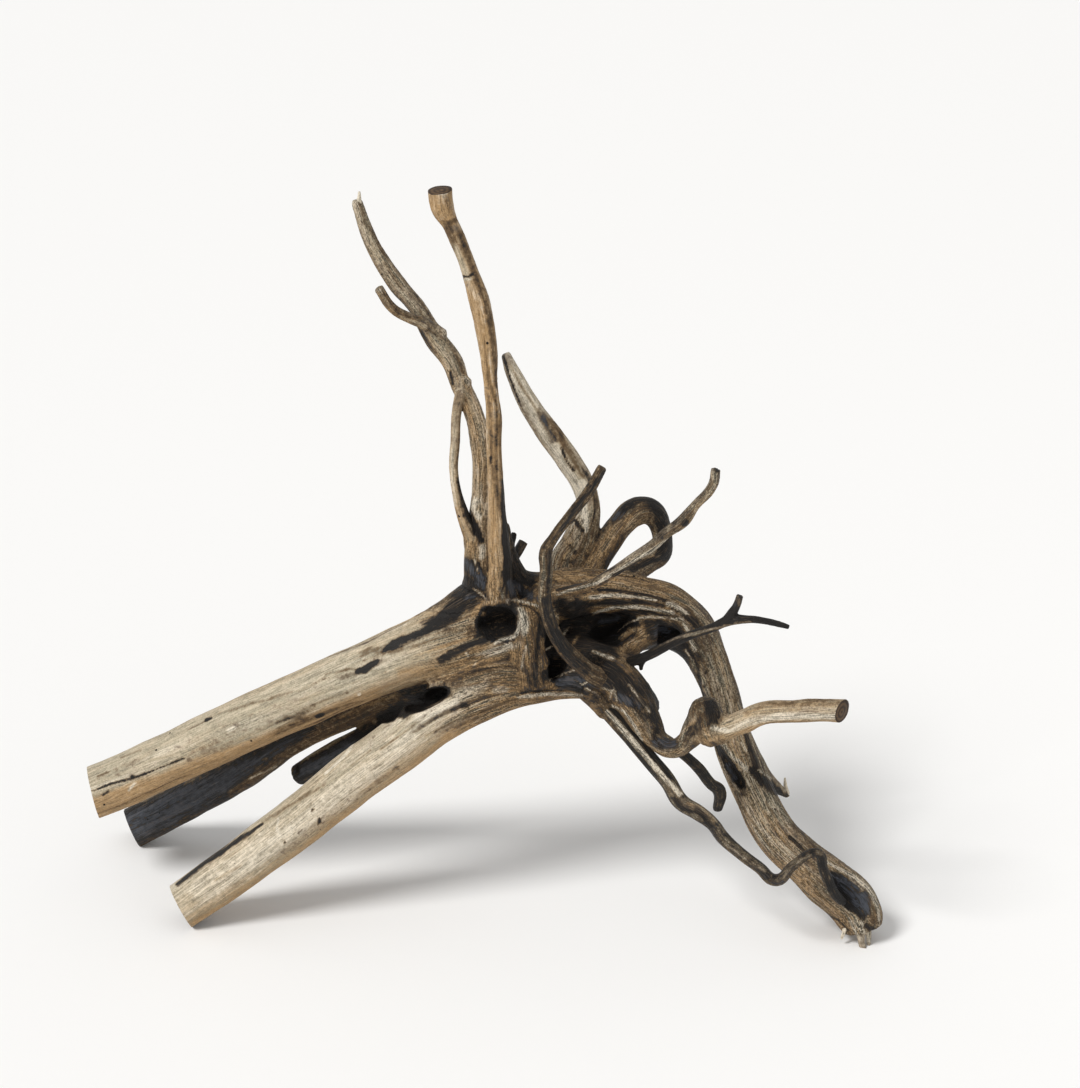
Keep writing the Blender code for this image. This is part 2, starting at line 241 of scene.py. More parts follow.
# Broken tips and spurs, too small for the part itself: (across, up, back, width) in mm
SPLINTERS = {
    "spur": ((101, 184.5, -47, 3.8), (98, 180, -46, 2.5), (97, 175.5, -45, 1.6)),
    "prong splinter": ((-80, 464, 9, 5), (-79, 469.5, 9, 2.2), (-79, 474.5, 9, 1)),
    "side splinter": ((189, 97.5, -10, 2.2), (187.5, 102.5, -10, 1.9), (187, 108, -10, 1)),
    "left end splinter": ((227, 24, -72, 6.2), (225, 15, -75, 2.8), (222.5, 7, -76, 1)),
    "long end splinter": ((232.5, 20, -72, 7.5), (234.5, 9, -76, 3.8), (235, -2, -78, 1.2)),
    "short end splinter": ((230, 21, -74, 6.2), (233, 11, -77, 2.8), (237.5, 0.5, -79, 1)),
    "right end splinter": ((237.5, 19, -72, 6.2), (239.5, 10, -75, 2.8), (239.5, 2.5, -76, 1)),
}

# Thin limbs, meshed more finely
TWIGS = ("left twig", "loop root", "thin stub", "cut stub", "front twig", "middle twig", "thin root",
         "short twig", "right twig", "twig fork", *SPLINTERS)

# Sawn ends: a point on the cut and the way the waste lies, both as (across, up, back), and the width of the
# waste block, in mm
SAWN_ENDS = {
    "top trunk": ((-245.5, 100, 5), (-1.0, -0.19, -0.15), 44),
    "middle trunk": ((-222.5, 79, 56), (-1.0, -0.39, -0.13), 44),
    "lower trunk": ((-190.5, 28, -48), (-1.0, -0.5, -0.12), 40),
    "tall prong": ((-30, 475, -35), (-0.1, 1.0, -0.5), 24),
    "peg": ((222.5, 149, -110.5), (1.0, 0.0, -0.8), 24),
    "cut stub": ((24, 255, 0), (0.6, 1.0, 0.2), 12),
}

# Hollows: the centre as (across, up, back), the half lengths along, across and into the wood, and the turn in
# the picture from level, in degrees
HOLLOWS = {
    "knot hole": ((8, 204, -47), (14, 12, 16), 0),
    "left slit": ((38, 195, -38), (6, 13, 8), 10),
    "right slit": ((43, 177, -40), (10, 8, 8), 25),
    "crotch of the lower trunk": ((-36, 157, -36), (16, 5.5, 20), 25),
    "crotch of the middle trunk": ((-58, 148, -26), (8, 6, 18), 25),
    "left hollow of the arc": ((80, 199, -14), (16, 10, 14), 15),
    "right hollow of the arc": ((110, 199, -4), (14, 7.5, 6), -8),
    "end of the main root": ((228, 35, -84), (22, 8, 14), -50),
    "slot of the main root": ((153, 114, -38), (17, 3, 9), -57),
}

# How each limb looks: tone from grey beige (0) to honey tan (1), black stain, pale bleach, and ridges in mm
LOOKS = {
    "top trunk": (0.3, 0.0, 0.3, 0.25),
    "trunk crown": (0.6, 0.2, 0.2, 0.8),
    "middle trunk": (0.5, 0.8, 0.0, 0.6),
    "lower trunk": (0.3, 0.0, 0.35, 0.2),
    "trunk web": (0.6, 0.2, 0.15, 0.5),
    "back web": (0.3, 0.8, 0.0, 0.7),
    "pillar": (0.85, 0.15, 0.15, 0.6),
    "trunk stub": (0.2, 0.75, 0.1, 0.5),
    "left prong": (0.6, 0.2, 0.2, 0.6),
    "left twig": (0.4, 0.3, 0.1, 0.6),
    "loop root": (0.5, 0.25, 0.2, 0.4),
    "tall prong": (0.95, 0.08, 0.25, 0.35),
    "dark spine": (0.3, 0.9, 0.0, 0.8),
    "thin stub": (0.3, 0.9, 0.0, 0.3),
    "cut stub": (0.3, 0.85, 0.0, 0.3),
    "antler": (0.3, 0.15, 0.5, 0.4),
    "hooked loop": (0.6, 0.3, 0.0, 0.7),
    "front twig": (0.4, 0.65, 0.0, 0.8),
    "middle twig": (0.5, 0.3, 0.2, 0.7),
    "main root": (0.6, 0.1, 0.2, 0.8),
    "arc wall": (0.4, 0.85, 0.0, 0.9),
    "arc lobe": (0.7, 0.45, 0.0, 0.7),
    "black boss": (0.6, 0.6, 0.0, 0.9),
    "front root": (0.45, 0.4, 0.25, 0.9),
    "root lump": (0.3, 0.9, 0.0, 0.5),
    "knuckle": (0.5, 0.35, 0.1, 0.7),
    "peg": (0.4, 0.1, 0.1, 0.5),
    "thin root": (0.15, 0.6, 0.15, 0.7),
    "short twig": (0.4, 1.0, 0.0, 0.6),
    "right twig": (0.3, 0.85, 0.0, 0.6),
    "twig fork": (0.3, 0.9, 0.0, 0.3),
    "side stub": (0.5, 0.4, 0.2, 0.5),
    "spur": (0.3, 1.0, 0.0, 0.5),
    "prong splinter": (0.2, 0.0, 0.6, 0.4),
    "side splinter": (0.5, 0.0, 0.8, 0.4),
    "left end splinter": (0.6, 0.0, 0.6, 0.5),
    "long end splinter": (0.5, 0.0, 0.9, 0.5),
    "short end splinter": (0.7, 0.1, 0.4, 0.5),
    "right end splinter": (0.6, 0.0, 0.6, 0.5),
}

# Marks as they are seen from the front, painted in this order. First the limbs that they lie on, then for
# each mark its paint, how strongly it covers, how far it raises or sinks the wood in mm, and its line of
# (across, up, width) in mm
MARKS = (
    (("top trunk", "trunk crown", "trunk web"),
     ("tan", 0.9, 0, (-243, 89, 16.2), (-215.5, 100, 13.8), (-184.5, 111, 12.5), (-153, 124, 11.2),
         (-122, 137, 10), (-90.5, 151, 8.8), (-69, 160, 6.2)),
     ("grey", 0.7, 0, (-244, 114, 10), (-209.5, 129, 10), (-178, 141, 10), (-140.5, 157, 8.8),
         (-103, 174, 6.2), (-72, 187.5, 5)),
     ("black", 1, -0.4, (-246, 99.5, 1), (-234.5, 104, 1), (-220.5, 107.5, 1.2), (-206, 113, 1),
         (-189, 120, 0.8)),
     ("black", 1, -0.3, (-220.5, 108, 2.5)),
     ("black", 1, 0, (-79.5, 174.5, 3.1), (-75.5, 175.5, 4.4), (-71, 179, 3.1), (-67.5, 180.5, 1.9)),
     ("brown", 0.9, 0, (-77, 185.5, 3.8), (-72, 187.5, 5.6), (-64.5, 188, 3.8)),
     ("brown", 0.7, 0, (-115.5, 156, 1.2), (-97, 162.5, 1.9), (-78, 169, 1.2)),
     ("brown", 0.7, 0, (-72, 155.5, 1.2), (-53, 162.5, 1.2), (-34.5, 169, 1.2)),
     ("brown", 0.7, 0, (-100, 172.5, 1.2), (-84.5, 176, 1.9), (-62.5, 174, 1.2)),
     ("brown", 0.7, 0, (-169, 147, 1.2), (-144, 155, 1.9), (-122, 159, 1.2)),
     ("brown", 0.6, 0, (-134.5, 158, 1.2), (-115.5, 162.5, 1.9), (-100, 171, 1.2)),
     ("brown", 0.8, -0.2, (-129.5, 139, 1.2), (-115.5, 143, 1.2), (-100.5, 147, 1.9)),
     ("black", 1, -0.3, (-105, 146, 1.9), (-102, 147, 1.9)),
     ("black", 1, -0.3, (-239, 97.5, 1.9), (-236, 99.5, 1.9)),
     ("black", 0.9, -0.2, (-174.5, 144, 1.9), (-172, 145, 1.2)),
     ("brown", 0.8, 0, (-242.5, 109, 1.2), (-233, 112.5, 1.2)),
     ("brown", 0.7, 0, (-228, 120.5, 1.2), (-215.5, 125, 1.2)),
     ("brown", 0.6, 0, (-209.5, 119, 1.2), (-194, 122, 1.2), (-175, 128, 1.2)),
     ("pale", 0.8, 0.3, (-223, 100, 1.2), (-219.5, 104, 1.2)),
     ("pale", 0.7, 0.3, (-160.5, 137.5, 1.9), (-157, 139.5, 1.9)),
     ("brown", 0.8, 0, (-59.5, 186, 1.9), (-37.5, 192.5, 2.5), (-14.5, 199, 2.5)),
     ("brown", 0.7, 0, (-56, 176, 1.2), (-34.5, 180.5, 1.9)),
     ("black", 1, 0, (-63, 188, 2.5), (-57.5, 192, 5), (-49.5, 195, 5), (-40.5, 198, 5), (-28, 205, 7.5),
         (-20.5, 212, 11.2), (-14.5, 221, 11.2), (-10.5, 228, 8.8)),
     ("grey", 0.7, 0.2, (-19.5, 217.5, 1.9), (-17, 215.5, 1.9), (-15, 219, 1.2)),
     ("pale", 0.9, 0.4, (-16, 220.5, 1.2)),
     ("black", 0.95, 0, (-0.5, 194, 3.8), (-12, 190, 5), (-22, 185, 5), (-27.5, 180.5, 5)),
     ("black", 1, -0.2, (-28, 180.5, 5), (-25.5, 182.5, 4.4)),
     ("umber", 1, 0, (-10.5, 200, 6.2), (-4.5, 197, 6.9)),
     ("pale", 0.9, 0.5, (-12, 186, 1.1), (-11, 184, 1.1)),
     ("pale", 0.9, 0.5, (-6, 180.5, 1.1), (-7.5, 177, 1.4)),
     ("pale", 0.9, 0.4, (-79, 160, 1.4)),
     ("pale", 0.55, 0, (-4.5, 184, 3.8), (5.5, 187, 5), (14.5, 191, 5)),
     ("tan", 0.7, 0, (-53, 174, 5), (-28, 176, 7.5), (-3, 179, 5), (15.5, 180, 5))),
    (("middle trunk",),
     ("blue", 1, 0, (-222, 77.5, 16.2), (-190.5, 92, 17.5), (-159.5, 107.5, 13.8), (-134.5, 120.5, 11.2),
         (-109.5, 133, 8.8)),
     ("umber", 1, 0, (-158, 99, 4.4), (-140.5, 110, 7.5), (-122, 122, 11.2), (-90.5, 139, 15),
         (-72, 149, 13.8), (-56, 156, 10)),
     ("pale", 0.6, 0.2, (-147, 107.5, 1.2), (-131, 115, 1.2)),
     ("tan", 0.5, 0, (-122, 120.5, 1.2), (-109.5, 127.5, 1.2), (-94, 135.5, 1.2)),
     ("tan", 0.7, 0, (-90.5, 145.5, 1.2), (-72, 154, 1.9), (-56, 160, 1.9)),
     ("black", 1, -0.6, (-223, 87, 1.2), (-209.5, 94, 1.2), (-189, 104.5, 1.2)),
     ("grey", 0.7, 0.3, (-223, 90, 1.2), (-206, 98, 1.2), (-190.5, 105.5, 1.2))),
    (("trunk stub",),
     ("grey", 0.5, 0, (-117, 119, 2.5), (-100, 127, 2.5), (-84.5, 137, 1.9)),
     ("blue", 1, 0, (-117, 111, 6.2), (-100, 119, 8.8), (-84.5, 128, 7.5)),
     ("black", 1, -0.6, (-117.5, 111, 1.9), (-117, 114, 1.9))),
    (("lower trunk", "trunk web"),
     ("pale", 0.35, 0, (-178, 37.5, 12.5), (-140.5, 62.5, 15), (-103, 90, 15), (-72, 115, 13.8),
         (-47, 134.5, 10)),
     ("tan", 0.8, 0, (-181, 17.5, 3.1), (-147, 37.5, 3.8), (-103, 70, 4.4), (-72, 94, 4.4), (-40.5, 119, 5),
         (-19, 134.5, 5.6)),
     ("black", 0.9, -0.2, (-193, 41, 1.9), (-175, 55, 2.5), (-153, 70, 3.1), (-139.5, 79, 1.9)),
     ("brown", 0.8, 0, (-139.5, 80, 1.9), (-122, 91, 2.5), (-109.5, 100, 1.9)),
     ("pale", 1, 0.5, (-83, 129, 1.2), (-79.5, 137, 1.2), (-84.5, 126, 1.2), (-90.5, 119, 1.2),
         (-100, 110.5, 1.2)),
     ("brown", 0.6, 0, (-115.5, 94, 1.2), (-90.5, 109.5, 1.9), (-72, 125, 1.2)),
     ("brown", 0.5, 0, (-97, 80, 1.2), (-72, 100, 1.2), (-53, 115.5, 1.2)),
     ("brown", 0.5, 0, (-169, 44, 1.2), (-153, 53, 1.2)),
     ("black", 0.9, -0.3, (-104, 79, 1.2), (-104, 82.5, 1.2)),
     ("black", 0.9, -0.3, (-108, 88, 1.5)),
     ("black", 0.9, -0.3, (-125.5, 67.5, 1.9)),
     ("pale", 0.9, 0.3, (-129.5, 82.5, 1), (-130.5, 76, 1), (-128, 71, 0.9)),
     ("pale", 0.9, 0.3, (-122, 78, 1), (-121, 72, 1)),
     ("brown", 0.7, -0.2, (-65.5, 126, 1.2), (-47, 139, 1.2), (-37.5, 146, 1.2)),
     ("black", 1, -0.8, (-52, 149, 7.5), (-45.5, 152.5, 7.5), (-38, 155, 7.5), (-30.5, 158, 5.6),
         (-24, 161, 3.8))),
    (("middle trunk",),
     ("black", 1, -0.5, (-65.5, 146, 5), (-58, 149, 7.5), (-52, 151, 7.5))),
    (("top trunk", "trunk crown", "trunk web"),
     ("black", 1, -0.2, (-62.5, 152, 1.9), (-53, 155, 3.8), (-44.5, 159, 2.5))),
    (("lower trunk", "trunk web"),
     ("pale", 0.7, 0, (-42, 145, 5), (-29.5, 151, 6.2), (-19, 155, 5)),
     ("pale", 0.5, 0, (7, 163, 6.2), (12.5, 162, 5)),
     ("pale", 0.45, 0, (-14.5, 161, 7.5), (-0.5, 166, 6.2)),
     ("black", 1, -0.5, (-14, 153, 2.5), (-11, 152.5, 1.9)),
     ("brown", 0.7, -0.2, (-37.5, 134, 1.2), (-22, 142.5, 1.2), (-3, 149, 1.2), (12.5, 155, 1.2)),
     ("brown", 0.7, -0.2, (-3, 149, 1.2), (19, 157, 1.2)),
     ("tan", 0.8, 0, (-25, 133, 4.4), (-9.5, 142, 4.4), (9.5, 149.5, 3.8), (28, 155, 2.5)),
     ("pale", 0.7, 0.4, (20.5, 158, 1.9), (34.5, 160, 2.5), (47, 160.5, 3.1), (61, 159.5, 2.5))),
    (("top trunk", "trunk crown", "trunk web", "pillar", "left prong", "tall prong", "dark spine",
        "lower trunk", "main root", "loop root"),
     ("black", 0.9, -0.3, (15.5, 159.5, 1), (28, 162, 1), (38, 162.5, 1), (48, 162.5, 0.9)),
     ("brown", 0.85, -0.3, (-29.5, 167, 1.2), (-18, 170, 1.9), (-3, 174, 2.5), (9.5, 173, 3.1),
         (19.5, 170, 1.9), (37.5, 167, 1.2)),
     ("brown", 0.6, 0, (-53, 166, 1.2), (-34.5, 170.5, 1.2), (-19, 176, 1.2)),
     ("black", 1, 0, (-0.5, 205, 5), (1, 199, 6.2), (9.5, 211, 11.2), (13, 204, 16.2), (7.5, 199, 10),
         (17, 207.5, 8.8)),
     ("tan", 0.8, 0.6, (-7.5, 208, 2.5), (-5.5, 214, 3.1), (-0.5, 217.5, 3.1), (6, 218, 2.5), (13, 218, 1.9)),
     ("tan", 0.9, 1.4, (-1, 210.5, 2.8)),
     ("black", 0.8, -0.2, (-6, 206, 2.5), (-4.5, 201, 3.8), (-2.5, 195.5, 3.8)),
     ("pale", 1, 0.5, (6, 192.5, 1.6), (10, 194, 1.9), (14.5, 195, 2.2), (18, 196, 2.5), (20.5, 200, 2.5),
         (20.5, 204.5, 1.9)),
     ("pale", 1, 0, (21, 213, 4.4), (23, 209, 6.2), (24, 204, 7.5), (24.5, 199, 5.6)),
     ("brown", 0.8, 0, (30.5, 211, 3.1), (32, 205, 3.1), (30, 197.5, 1.9)),
     ("pale", 0.8, 0.4, (14.5, 219, 1.9), (19.5, 219, 1.9), (25.5, 217.5, 1.6), (32, 215.5, 2.5),
         (35, 214.5, 2.5)),
     ("black", 1, -0.4, (17.5, 216, 1.1), (22.5, 216, 1.1), (27.5, 214.5, 1.1), (32, 211, 1.1),
         (35, 207.5, 1.2)),
     ("black", 1, -0.5, (34.5, 207.5, 1.9), (33, 199, 2.5), (32.5, 190.5, 2.5), (32.5, 181, 2.5),
         (31, 170, 1.9)),
     ("pale", 0.5, 0, (0.5, 186, 5), (9.5, 188, 6.2), (19, 190.5, 5)),
     ("tan", 0.6, 0, (24, 190.5, 5), (24.5, 181, 6.2), (24.5, 172.5, 5)),
     ("brown", 0.9, -0.3, (20.5, 189, 1.6), (20, 181, 1.9), (20, 174, 1.6)),
     ("brown", 0.8, -0.2, (27.5, 192, 1.2), (29.5, 186, 1.2)),
     ("brown", 0.9, -0.2, (30, 182.5, 1.9), (29.5, 172.5, 1.9)),
     ("pale", 0.6, 0.4, (25.5, 190.5, 1.2), (24, 184, 1.6), (22.5, 176, 1.6)),
     ("black", 1, 0, (-8, 240, 8.8), (-7, 229, 13.8), (-12, 219, 13.8), (-17, 215, 8.8)),
     ("blue", 1, 0, (-12, 242.5, 5), (-7, 236, 8.8), (-3, 232.5, 10), (-3, 225, 8.8), (-9.5, 220, 6.2)),
     ("black", 1, 0, (-12, 234, 3.1), (-9.5, 226, 6.2), (-4.5, 224, 5), (2, 219, 1.9)),
     ("pale", 0.9, 0.3, (-7.5, 226, 1), (-3, 223, 1.1), (1, 219, 1)),
     ("pale", 0.8, 0.2, (-7, 244, 1.2), (-4.5, 236, 1)),
     ("tan", 0.9, 0.3, (2.5, 236, 3.1), (2.5, 226, 3.1), (4, 219, 3.1)),
     ("tan", 0.9, 0.4, (7.5, 236, 3.8), (7.5, 226, 3.8), (7.5, 219, 3.1)),
     ("brown", 0.9, -0.3, (5.5, 234.5, 1), (5.5, 220, 1)),
     ("pale", 0.8, 0.4, (9.5, 226, 1.2), (11, 220.5, 1.9), (15, 216, 1.9)),
     ("black", 0.9, -0.2, (11, 236, 3.1), (12, 230, 1.9), (10, 224, 1.2)),
     ("blue", 1, 0, (14.5, 230, 5.6), (18, 226, 8.1), (24.5, 224, 7.5), (30.5, 220.5, 5)),
     ("black", 1, 0, (16, 239, 6.2), (20.5, 234, 5), (27, 231, 3.1)),
     ("pale", 0.8, 0.2, (19, 225, 1), (20.5, 221, 1)),
     ("brown", 0.8, 0, (29, 229.5, 4.4), (32.5, 224.5, 4.4)),
     ("tan", 0.45, 0, (42, 235, 8.8), (59.5, 236, 10), (79.5, 234, 7.5))),
    (("left prong",),
     ("grey", 0.6, 0, (-79.5, 462.5, 5), (-65.5, 434.5, 6.2), (-47, 406, 6.2), (-28, 378, 5),
         (-20.5, 365.5, 5)),
     ("brown", 0.7, -0.2, (-79, 469, 1.9), (-75.5, 455, 2.5), (-68, 444, 1.9), (-62, 430, 1.9),
         (-53, 415.5, 1.9)),
     ("brown", 0.8, -0.2, (-40.5, 399, 1.9), (-28, 382.5, 2.5), (-19, 370, 3.1), (-14.5, 361, 3.1)),
     ("brown", 0.8, -0.2, (-14, 347, 1.9), (-7, 331, 2.5), (-2, 315.5, 1.9)),
     ("black", 1, -0.3, (-16, 340.5, 3.1), (-15, 330, 3.1)),
     ("tan", 0.9, 0.2, (-12, 340.5, 3.1), (-8, 328, 3.8), (-4, 312.5, 3.1), (-2.5, 294, 3.1)),
     ("brown", 0.9, -0.2, (-0.5, 319, 1.2), (0, 300, 1.6), (0, 281, 1.6)),
     ("pale", 0.8, 0.3, (-5.5, 281, 4.4), (-8, 276, 3.8), (-4.5, 271, 3.8)),
     ("pale", 0.7, 0, (-2, 253, 3.1), (-2, 246, 3.8)),
     ("tan", 0.9, 0.3, (-12, 257.5, 2.5), (-10, 253, 3.8), (-7, 249.5, 3.1)),
     ("black", 1, -0.2, (-16, 282.5, 2.5), (-14, 275, 4.4), (-9.5, 269, 5), (-5.5, 262.5, 5),
         (-2.5, 255.5, 3.8)),
     ("brown", 0.8, 0, (-1, 270, 2.5), (-0.5, 262.5, 3.1)),
     ("black", 0.9, -0.3, (-22, 362, 1.2), (-20.5, 354, 1.6))),
    (("loop root", "left prong"),
     ("black", 1, 0, (-17.5, 295, 1.9), (-15.5, 286, 3.1), (-13, 277.5, 4.4), (-9.5, 269, 5), (-6, 261, 5)),
     ("pale", 0.5, 0, (-21, 312.5, 1.9), (-21, 294, 1.9), (-19, 278, 1.9))),
    (("left twig",),
     ("umber", 0.9, 0, (-63, 410.5, 2.5), (-56, 401, 2.5), (-48, 396, 2.5), (-40.5, 395, 1.9)),
     ("grey", 0.7, 0, (-53, 396, 1.9), (-44, 392, 2.5), (-37.5, 389, 2.5))),
    (("tall prong",),
     ("tan", 1, 0, (-34.5, 467, 7.5), (-30, 464.5, 7.5), (-25, 461, 5.6), (-22.5, 457.5, 3.1)),
     ("brown", 0.7, -0.3, (-25, 469, 1), (-22, 460, 1)),
     ("brown", 1, -0.2, (-26, 455.5, 1.9), (-22, 454.5, 3.1), (-18, 457.5, 3.1)),
     ("grey", 0.7, 0, (-22, 447, 5), (-17, 434.5, 5), (-12, 422, 5)),
     ("umber", 1, 0, (-24.5, 452.5, 5), (-20.5, 444, 5.6)),
     ("umber", 1, 0, (-16, 447, 5), (-10.5, 432.5, 3.8), (-4.5, 415.5, 4.4), (0, 405, 3.8), (2.5, 392.5, 3.8),
         (5, 374, 3.1), (7, 353, 2.5)),
     ("black", 1, -0.4, (-14.5, 421, 1.6), (-11, 420.5, 1.6), (-8, 423, 1.6)),
     ("pale", 0.8, 0.3, (-13, 419.5, 1.2), (-9.5, 420, 1.2)),
     ("tan", 0.8, 0, (-9.5, 409.5, 3.1), (-4, 387.5, 3.1), (-0.5, 365.5, 3.1), (2.5, 340.5, 4.4),
         (4.5, 319, 5)),
     ("brown", 0.9, -0.2, (-1, 384.5, 1.2), (0.5, 369, 1.9), (2.5, 356, 1.9)),
     ("brown", 0.9, -0.2, (1, 359.5, 1.9), (4, 349, 3.1), (5.5, 344, 1.9)),
     ("black", 1, -0.4, (3, 308, 1.6), (3, 304.5, 1.9)),
     ("brown", 0.9, -0.2, (-20.5, 443, 1.9), (-20, 437.5, 1.9)),
     ("tan", 0.9, 0, (5, 312.5, 5), (5.5, 287.5, 5.6), (5.5, 262.5, 5.6), (5, 240.5, 5.6)),
     ("brown", 0.7, -0.2, (4.5, 294, 1), (5, 269, 1), (4, 244, 1)),
     ("brown", 0.7, -0.2, (7.5, 284.5, 1), (7.5, 253, 1)),
     ("black", 1, 0, (10.5, 294, 1.2), (11, 275, 2.5), (12.5, 259.5, 4.4), (14.5, 245, 5.6), (13, 235, 5)),
     ("brown", 0.8, 0, (9, 334.5, 1.9), (9, 312.5, 1.9), (9.5, 294, 1.2))),
    (("antler",),
     ("pale", 0.7, 0, (17, 361, 3.8), (27, 344, 5.6), (37.5, 324, 6.2), (47, 306, 6.9), (55.5, 291, 8.1),
         (57.5, 278, 8.8)),
     ("brown", 0.8, -0.2, (14.5, 367.5, 1.2), (22, 353, 1.9), (28, 344, 1.9), (33, 336, 1.2)),
     ("grey", 0.6, 0, (22, 361, 2.5), (30.5, 347, 3.1)),
     ("blue", 0.7, 0, (33, 337.5, 3.1), (38, 329, 6.9), (43, 320.5, 6.9)),
     ("umber", 1, 0, (40, 331, 3.1), (45.5, 324, 5.6), (49, 317.5, 4.4)),
     ("brown", 0.9, 0, (50.5, 315, 5), (55.5, 305, 5), (62, 295, 3.1)),
     ("black", 0.9, -0.2, (47.5, 314, 1.6), (50.5, 306, 1.6), (55, 300, 1.9)),
     ("brown", 0.85, 0, (67, 287.5, 3.8), (69.5, 278, 4.4), (67.5, 267.5, 4.4), (64.5, 259, 3.8),
         (59.5, 249, 3.1)),
     ("pale", 1, 0, (60.5, 292.5, 3.8), (60.5, 281, 4.4), (62, 269, 3.8), (63, 262.5, 2.5)),
     ("black", 0.9, -0.3, (50.5, 266, 1.9), (55.5, 269, 1.9), (60.5, 262.5, 2.5)),
     ("tan", 0.8, 0, (49.5, 257.5, 5), (54.5, 251, 6.2), (48, 244, 7.5)),
     ("black", 0.9, -0.2, (53, 253, 2.5), (56, 249, 1.9)),
     ("black", 0.8, -0.2, (49, 244, 1.2), (54.5, 242, 1.2))),
    (("hooked loop",),
     ("tan", 0.8, 0, (67, 240, 7.5), (73, 251, 7.5), (80.5, 262.5, 6.2), (90.5, 270, 3.8)),
     ("umber", 1, 0, (79.5, 267.5, 5), (87, 275, 8.8), (97, 279, 10), (104.5, 274.5, 8.8)),
     ("blue", 1, 0, (80, 269, 2.5), (84.5, 273, 5), (90.5, 279, 5)),
     ("black", 1, 0, (85.5, 274.5, 2.5), (93, 281, 4.4), (100.5, 283, 5.6), (107, 279.5, 9.4),
         (110.5, 271, 11.2), (112.5, 262, 11.2), (113, 253, 10), (112, 247, 7.5)),
     ("brown", 0.9, 0, (96, 271, 3.8), (102, 267, 3.1), (104.5, 260.5, 2.5)),
     ("black", 0.8, 0, (109.5, 245, 3.1), (100, 242, 3.1), (92, 237.5, 2.5)),
     ("brown", 0.7, -0.2, (75, 246, 1.2), (80.5, 256, 1.2), (88, 266, 1.2))),
    (("front twig",),
     ("umber", 0.9, 0, (74, 299, 7.5), (56, 276, 7.5), (37.5, 250, 8.8), (35, 220.5, 8.8), (40, 205.5, 8.8),
         (53, 184.5, 11.2), (72, 170, 12.5)),
     ("pale", 0.25, 0, (35, 250, 1.6), (34.5, 231, 1.9), (35, 215.5, 1.9), (39, 201, 1.6)),
     ("black", 1, -0.2, (40, 247, 1.9), (39.5, 234.5, 1.9), (40, 219, 1.9), (44.5, 201, 1.9),
         (54.5, 187.5, 1.9)),
     ("brown", 0.9, 0.2, (37.5, 244, 1.6), (37.5, 219, 1.9), (42, 203, 2.2), (50, 189.5, 2.5),
         (59.5, 180.5, 2.2), (69.5, 172.5, 2.5)),
     ("black", 0.8, 0, (37, 219, 3.8), (41, 201, 4.4), (50.5, 186, 5), (62, 175, 5.6)),
     ("black", 0.9, 0, (74, 299, 2.5), (65.5, 287.5, 2.5), (56, 276, 2.5), (47, 262.5, 1.9))),
    (("middle twig",),
     ("pale", 0.9, 0.3, (44.5, 222, 1.2), (56, 226, 1.9), (70.5, 230, 1.9), (78, 234.5, 1.9),
         (90.5, 242, 1.9), (104.5, 250, 1.9), (119.5, 260, 1.9)),
     ("black", 1, -0.3, (44.5, 225, 1.2), (58, 229, 1.2), (70.5, 234.5, 1.2), (79.5, 239, 1)),
     ("black", 0.9, 0, (79.5, 234.5, 1.9), (87.5, 238, 1.9), (97, 244.5, 1.6)),
     ("brown", 0.8, 0, (114.5, 259, 1.9), (124.5, 269, 1.9), (134.5, 281, 1.9), (142, 292.5, 1.9)),
     ("black", 1, 0, (125, 267, 3.8)),
     ("black", 1, -0.3, (144.5, 300.5, 3.1))),
    (("main root", "arc wall", "arc lobe", "trunk crown", "black boss"),
     ("tan", 0.5, 0, (84.5, 231, 5), (109.5, 226, 5), (128, 215.5, 5)),
     ("black", 1, -0.4, (70.5, 225.5, 1.6), (84.5, 224.5, 1.9), (97, 222.5, 1.9), (109.5, 220, 1.6),
         (118, 216, 1.2)),
     ("pale", 0.9, 0.5, (65.5, 220.5, 1.9), (79.5, 222, 2.2), (94, 221, 1.9), (106, 219, 1.6)),
     ("black", 1, -0.3, (54.5, 215, 3.8), (65.5, 216, 2.5), (78, 218, 2.5), (97, 217.5, 2.8),
         (110.5, 215.5, 1.9)),
     ("pale", 0.95, 0.5, (62, 209, 1.9), (72, 212, 1.9), (81, 214.5, 2.2), (94, 214.5, 1.9), (106, 213, 1.9),
         (117, 211, 1.9)),
     ("black", 1, -0.4, (72, 208, 1.6), (87.5, 212, 1.9), (103, 211, 2.2), (119.5, 208, 1.6)),
     ("pale", 0.8, 0.3, (94.5, 208, 1.6), (109.5, 208, 1.6), (123, 207, 1.6), (126, 200, 1.9)),
     ("pale", 1, 0.5, (114, 217, 2.5), (119.5, 214.5, 3.1), (125, 211, 3.8), (127, 206, 1.9)),
     ("black", 0.9, -0.2, (115.5, 215, 1), (122, 211, 1), (125.5, 207.5, 1)),
     ("black", 1, 0, (126, 208, 3.1), (130.5, 205, 3.8), (133, 201, 3.1)),
     ("brown", 0.6, 0, (97, 227.5, 1.2), (112.5, 224, 1.2), (128, 212.5, 1.9), (134.5, 203, 1.9)),
     ("brown", 0.6, 0, (87.5, 229, 1.2), (103, 227.5, 1.2), (122, 220, 1.2)),
     ("black", 1, 0, (104.5, 200, 11.2), (112, 200, 12.5), (118, 199.5, 8.8)),
     ("blue", 1, 0, (107, 200, 6.2), (114.5, 201, 6.2)),
     ("blue", 0.9, 0, (59.5, 191, 5), (65.5, 186, 7.5), (72, 181, 7.5)),
     ("black", 1, 0, (67, 200, 10), (73, 204, 11.2), (83, 207, 8.8), (93, 208, 3.8)),
     ("blue", 1, 0, (72, 205, 5), (83, 207.5, 3.8)),
